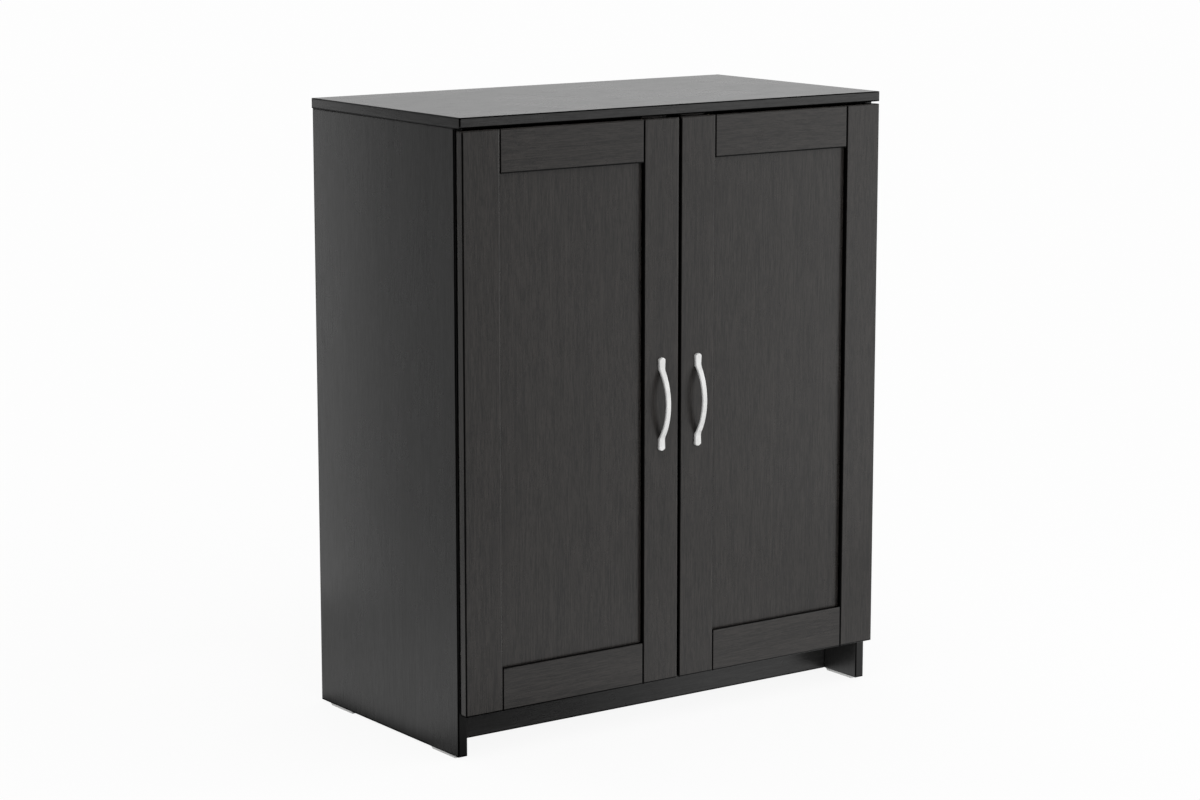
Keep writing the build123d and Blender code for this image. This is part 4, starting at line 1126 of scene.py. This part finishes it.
@dataclass
class Carcass:
    """The standing part of the cabinet."""

    boards: Boards
    metals: Metals
    body: str = "carcass"

    def build(self) -> None:
        """Dresses the boards and the fittings of the carcass."""
        self.dress_boards()
        self.dress_back()
        self.dress_joints()
        self.dress_feet()
        self.build_fasteners()

    def dress_boards(self) -> None:
        """Gives every board its laminate."""
        self.boards.dress("top_panel", Grain.ACROSS, Grain.DEEP, corner=Corner.UPPER)
        # The front edges of the side panels carry painted shade.
        for side in Side:
            node = f"{side.value}_side_panel"
            self.boards.dress(node, Grain.UPRIGHT, Grain.DEEP, painted=(Facing.FRONT,))
        for node in ("bottom_panel", "kick_board", "shelf_1", "shelf_2", "shelf_3", "shelf_4"):
            self.boards.dress(node, Grain.ACROSS, Grain.DEEP)

    def dress_back(self) -> None:
        """Dresses the two halves of the back and the strip between them."""
        board = Hardboard().material("hardboard")
        for side in Side:
            dress(f"{side.value}_back_panel", board)
        strip = Plastic(colour=(0.030, 0.028, 0.026), gloss=0.5).material("joint_strip")
        dress("back_joint_strip", strip)

    def dress_joints(self) -> None:
        """Dresses cams, bolts, dowels, corner blocks, hinge halves and catches."""
        dark = Plastic(colour=(0.045, 0.040, 0.036), gloss=0.48).material("dark_plastic")
        for node in ("side_cams", "bottom_cams"):
            dress(node, self.metals.zinc)
        for node in ("top_cam_bolts", "bottom_cam_bolts"):
            dress(node, self.metals.steel)
        for node in ("corner_blocks", "magnet_catches"):
            dress(node, dark)
        dress("panel_dowels", Beech().material("beech"))
        dress("shelf_pins", self.metals.nickel)
        for side in Side:
            dress(f"{side.value}_hinge_arms", self.metals.nickel)
            dress(f"{side.value}_hinge_plates", self.metals.nickel)

    def dress_feet(self) -> None:
        """Dresses the four foot pads."""
        white = Plastic(colour=(0.93, 0.93, 0.92), gloss=0.45).material("white_plastic")
        for side in Side:
            for end in ("front", "back"):
                dress(f"{end}_{side.value}_foot_pad", white)

    def build_fasteners(self) -> None:
        """Replaces the plain screws and nails by turned ones."""
        for node in ("back_nails", "foot_pad_nails"):
            rebuild_fasteners(node, self.body, self.metals.steel, Drive.NONE)
        for node in ("corner_block_screws", "catch_screws"):
            rebuild_fasteners(node, self.body, self.metals.steel, Drive.CROSS)
        for node in ("hinge_plate_screws", "hinge_arm_screws"):
            rebuild_fasteners(node, self.body, self.metals.nickel, Drive.CROSS)


@dataclass
class Door:
    """One framed door with its handle and its half of the hinges."""

    side: Side
    boards: Boards
    metals: Metals
    rubber: Material
    bumper_dome: float = 0.8
    bumper_drop: float = 0.45
    bumper_steps: int = 8
    bumper_foot: Span = (0.95, 0.12)

    def node(self, part: str) -> str:
        """The CAD node of one part of this door."""
        return f"{self.side.value}_{part}"

    def build(self) -> None:
        """Dresses the door and builds its small pieces."""
        metals = self.metals
        self.dress_frame()
        dress(self.node("handle"), metals.handle)
        for part in ("hinge_cups", "hinge_pins"):
            dress(self.node(part), metals.nickel)
        dress(self.node("strike_plate"), metals.steel)
        body = self.node("door")
        rebuild_fasteners(self.node("handle_screws"), body, metals.steel, Drive.CROSS)
        rebuild_fasteners(self.node("cup_screws"), body, metals.nickel, Drive.CROSS)
        bumpers = self.node("door_bumpers")
        domed = (self.bumper(points) for points in loose_solids(bumpers))
        replace_node(bumpers, domed, body, self.rubber)

    def dress_frame(self) -> None:
        """Gives the stiles, rails and panel their laminate, with painted shade on the frame's inner edges.
        """
        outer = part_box(self.node("door_outer_stile"))
        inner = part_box(self.node("door_inner_stile"))
        left, right = (outer, inner) if self.side is Side.LEFT else (inner, outer)
        inward = Facing.RIGHT if self.side is Side.LEFT else Facing.LEFT
        # Painted shade on the frame's inner edges: the walls of the recess and those by the gap between
        # the doors.
        for part, painted in (("door_outer_stile", (inward,)),
                              ("door_inner_stile", (Facing.LEFT, Facing.RIGHT)),
                              ("door_panel", ())):
            self.boards.dress(self.node(part), Grain.UPRIGHT, Grain.ACROSS, painted=painted)
        for part, painted in (("door_top_rail", (Facing.DOWN,)), ("door_bottom_rail", (Facing.UP,))):
            low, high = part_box(self.node(part))
            box = (Vector((left[1].x, low.y, low.z)), Vector((right[0].x, high.y, high.z)))
            self.boards.dress(self.node(part), Grain.ACROSS, Grain.UPRIGHT, box, painted)

    def bumper(self, points: list[Vector]) -> Mesh:
        """Builds a domed button in the place of a plain bumper.

        Args:
            points: The corner points of the plain bumper.

        Returns:
            The mesh.
        """
        low, high = box_of(points)
        radius = (high.x - low.x) / 2
        height = high.y - low.y
        foot_radius, foot_height = self.bumper_foot
        profile = dome(self.bumper_dome * radius, height, self.bumper_drop * height, self.bumper_steps)
        mesh = lathe(profile + [(foot_radius * radius, foot_height * height), (radius, 0.0), (0.0, 0.0)])
        place = Matrix.Translation(((low.x + high.x) / 2, low.y, (low.z + high.z) / 2))
        mesh.transform(place @ Matrix.Rotation(-math.pi / 2, 4, "X"))
        return mesh


@dataclass(frozen=True)
class Lamp:
    """A soft lamp that fades evenly from edge to edge.

    Seen from behind the lamp, first is its strength at the left edge and last at the right, up to most.
    """

    name: str
    place: Place
    target: Place
    size: Span
    power: float
    spread: float
    first: float
    last: float
    most: float

    def build(self) -> None:
        """Adds the lamp."""
        data = bpy.data.lights.new(self.name, "AREA")
        data.shape = "RECTANGLE"
        data.size, data.size_y = self.size
        data.energy = self.power
        data.spread = math.radians(self.spread)
        data.use_nodes = True
        graph = Graph(data.node_tree)
        across = graph.split(graph.node("ShaderNodeNewGeometry").outputs["Parametric"])[0]
        level = graph.plus(self.first, across, self.last - self.first)
        level = graph.most(graph.math("MINIMUM", level, self.most), 0.0)
        graph.fill(data.node_tree.nodes["Emission"], Strength=level)
        lamp = bpy.data.objects.new(self.name, data)
        lamp.location = self.place
        lamp.visible_camera = False
        toward = Vector(self.target) - Vector(self.place)
        lamp.rotation_euler = toward.to_track_quat("-Z", "Y").to_euler()
        bpy.context.scene.collection.objects.link(lamp)


KEY_LAMP = Lamp("key_softbox", place=(0.851, -1.183, 1.0), target=(0.271, -0.373, 1.0),
                size=(2.0, 2.0), power=12.57, spread=180.0, first=-0.35, last=0.97, most=0.75)
SIDE_LAMP = Lamp("side_softbox", place=(-0.726, 0.586, 0.7), target=(-0.201, -0.264, 0.7),
                 size=(0.42, 1.3), power=1.715, spread=120.0, first=0.50, last=-0.36, most=0.50)


@dataclass
class Studio:
    """Camera, floor, room light and soft lamps."""

    camera_place: Place = (-2.9169, -4.0563, 1.3967)
    camera_tilt: float = 79.65
    camera_heading: float = -35.66
    lens: float = 95.18
    sensor: float = 36.0
    white: float = 0.985
    room_middle: float = 0.22
    room_swing: float = 0.80
    room_heading: float = 19.0
    room_dimmest: float = 0.04
    overhead: float = 0.06
    overhead_span: Span = (0.45, 0.82)
    fill: float = 0.60
    front_fill: float = 1.0
    floor_size: float = 24.0
    floor_colour: Colour = (0.8, 0.8, 0.8)
    floor_glow: float = 1.03
    glow_share: Span = (0.5, 0.88)
    floor_level: float = 0.42
    floor_slope: float = 0.50
    floor_limits: Span = (0.34, 0.52)
    near_level: float = 0.30
    near_span: Span = (0.5, 1.8)
    foot_shade: float = 0.14
    foot_place: Place = (-0.37, -0.23, 0.0)
    foot_stretch: Place = (1.0, 2.6, 1.0)
    foot_span: Span = (0.09, 0.70)
    under_shade: float = 0.12
    under_front: float = 0.3
    under_reach: float = 0.06

    def build(self) -> None:
        """Builds everything that isn't the cabinet."""
        bpy.context.scene.view_settings.view_transform = "Standard"
        self.add_camera()
        self.add_floor()
        self.add_world()
        KEY_LAMP.build()
        SIDE_LAMP.build()

    def add_camera(self) -> None:
        """Places the camera as the photograph was taken."""
        data = bpy.data.cameras.new("camera")
        data.lens = self.lens
        data.sensor_width = self.sensor
        camera = bpy.data.objects.new("camera", data)
        camera.location = self.camera_place
        camera.rotation_euler = (math.radians(self.camera_tilt), 0.0, math.radians(self.camera_heading))
        bpy.context.scene.collection.objects.link(camera)
        bpy.context.scene.camera = camera

    def seen(self, graph: Graph) -> Socket:
        """Adds a test that gives 1 for camera rays and for rays through clear rubber."""
        path = graph.node("ShaderNodeLightPath").outputs
        return graph.most(path["Is Camera Ray"], path["Is Transmission Ray"])

    def room_level(self, graph: Graph, toward: Socket) -> Socket:
        """Adds the light level of the white room, brighter to the right and back, dim overhead.

        Args:
            graph: The node tree to add it to.
            toward: Direction from the cabinet.

        Returns:
            The level.
        """
        heading = math.radians(self.room_heading)
        level = graph.vector("NORMALIZE", graph.vector("MULTIPLY", toward, (1.0, 1.0, 0.0)))
        along = graph.dot(level, (math.cos(heading), math.sin(heading), 0.0))
        around = graph.plus(self.room_middle, along, self.room_swing)
        around = graph.most(around, self.room_dimmest)
        height = graph.dot(toward, Facing.UP.value)
        return graph.times(around, graph.ramp(height, *self.overhead_span, 1.0, self.overhead))

    def floor_light(self, graph: Graph) -> Socket:
        """Adds the floor as the boards mirror it: brighter to the right, dark under and by the feet.

        Args:
            graph: The node tree to add it to.

        Returns:
            The level.
        """
        place = graph.coordinates("Object")
        least, most = self.floor_limits
        level = graph.plus(self.floor_level, graph.split(place)[0], self.floor_slope)
        level = graph.math("MINIMUM", graph.most(level, least), most)
        near = graph.ramp(graph.vector("LENGTH", place), *self.near_span, self.near_level, 0.0)
        apart = graph.vector("SUBTRACT", place, self.foot_place)
        apart = graph.vector("LENGTH", graph.vector("MULTIPLY", apart, self.foot_stretch))
        foot = graph.ramp(apart, *self.foot_span, self.foot_shade, 1.0)
        low, high = CAD_BOX
        outside = graph.vector(
            "MAXIMUM", graph.vector("SUBTRACT", (low.x, self.under_front * low.y, 0.0), place),
            graph.vector("SUBTRACT", place, (high.x, high.y, 0.0)))
        gap = graph.vector("LENGTH", graph.vector("MAXIMUM", outside, (0.0, 0.0, 0.0)))
        under = graph.ramp(gap, 0.0, self.under_reach, self.under_shade, 1.0)
        return graph.times(graph.times(graph.math("ADD", level, near), foot), under)

    def add_floor(self) -> None:
        """Adds a pale floor that keeps a soft shadow."""
        mesh = bmesh.new()
        bmesh.ops.create_grid(mesh, x_segments=1, y_segments=1, size=self.floor_size / 2)
        data = bpy.data.meshes.new("floor")
        mesh.to_mesh(data)
        mesh.free()
        floor = bpy.data.objects.new("floor", data)
        bpy.context.scene.collection.objects.link(floor)
        material = bpy.data.materials.new("pale_floor")
        material.use_nodes = True
        material.node_tree.nodes.clear()
        graph = Graph(material.node_tree)
        matt = graph.node("ShaderNodeBsdfDiffuse")
        graph.fill(matt, Color=opaque(self.floor_colour))
        seen = self.seen(graph)
        mirrored = graph.node("ShaderNodeLightPath").outputs["Is Glossy Ray"]
        glow = graph.node("ShaderNodeEmission")
        graph.fill(glow, Strength=graph.ramp(seen, 0.0, 1.0, self.floor_light(graph), self.floor_glow))
        share = graph.node("ShaderNodeMixShader")
        graph.fill(share, Fac=graph.most(graph.ramp(seen, 0.0, 1.0, *self.glow_share), mirrored))
        graph.feed(share.inputs[1], matt.outputs[0])
        graph.feed(share.inputs[2], glow.outputs[0])
        graph.fill(graph.node("ShaderNodeOutputMaterial"), Surface=share.outputs[0])
        data.materials.append(material)

    def add_world(self) -> None:
        """Adds the white room, with a soft fill from the front for the matt part of each finish."""
        world = bpy.data.worlds.new("studio")
        bpy.context.scene.world = world
        world.use_nodes = True
        world.node_tree.nodes.clear()
        graph = Graph(world.node_tree)
        toward = graph.coordinates("Generated")
        front = graph.most(graph.dot(toward, Facing.FRONT.value), 0.0)
        fill = graph.plus(self.fill, front, self.front_fill)
        scattered = graph.node("ShaderNodeLightPath").outputs["Is Diffuse Ray"]
        room = graph.ramp(scattered, 0.0, 1.0, self.room_level(graph, toward), fill)
        light = graph.node("ShaderNodeBackground")
        level = graph.ramp(self.seen(graph), 0.0, 1.0, room, self.white)
        graph.fill(light, Color=opaque((1.0, 1.0, 1.0)), Strength=level)
        graph.fill(graph.node("ShaderNodeOutputWorld"), Surface=light.outputs[0])


# The number before each door's first board, so that every board shows another piece of the print.
DOOR_PRINTS = {Side.LEFT: 20, Side.RIGHT: 40}


def main() -> None:
    """Builds the cabinet's looks and the studio."""
    logging.basicConfig(level=logging.INFO, format="%(message)s")
    metals = Metals()
    rubber = ClearRubber().material("clear_rubber")
    Carcass(Boards(Laminate(), count=0), metals).build()
    # On the doors the painted shade also takes away most of the reflection.
    warm = Laminate(dark=(0.0118, 0.0108, 0.0102), light=(0.0306, 0.0272, 0.0250), paint_depth=0.85)
    for side, count in DOOR_PRINTS.items():
        Door(side, Boards(warm, count), metals, rubber).build()
    Studio().build()


if __name__ == "__main__":
    main()
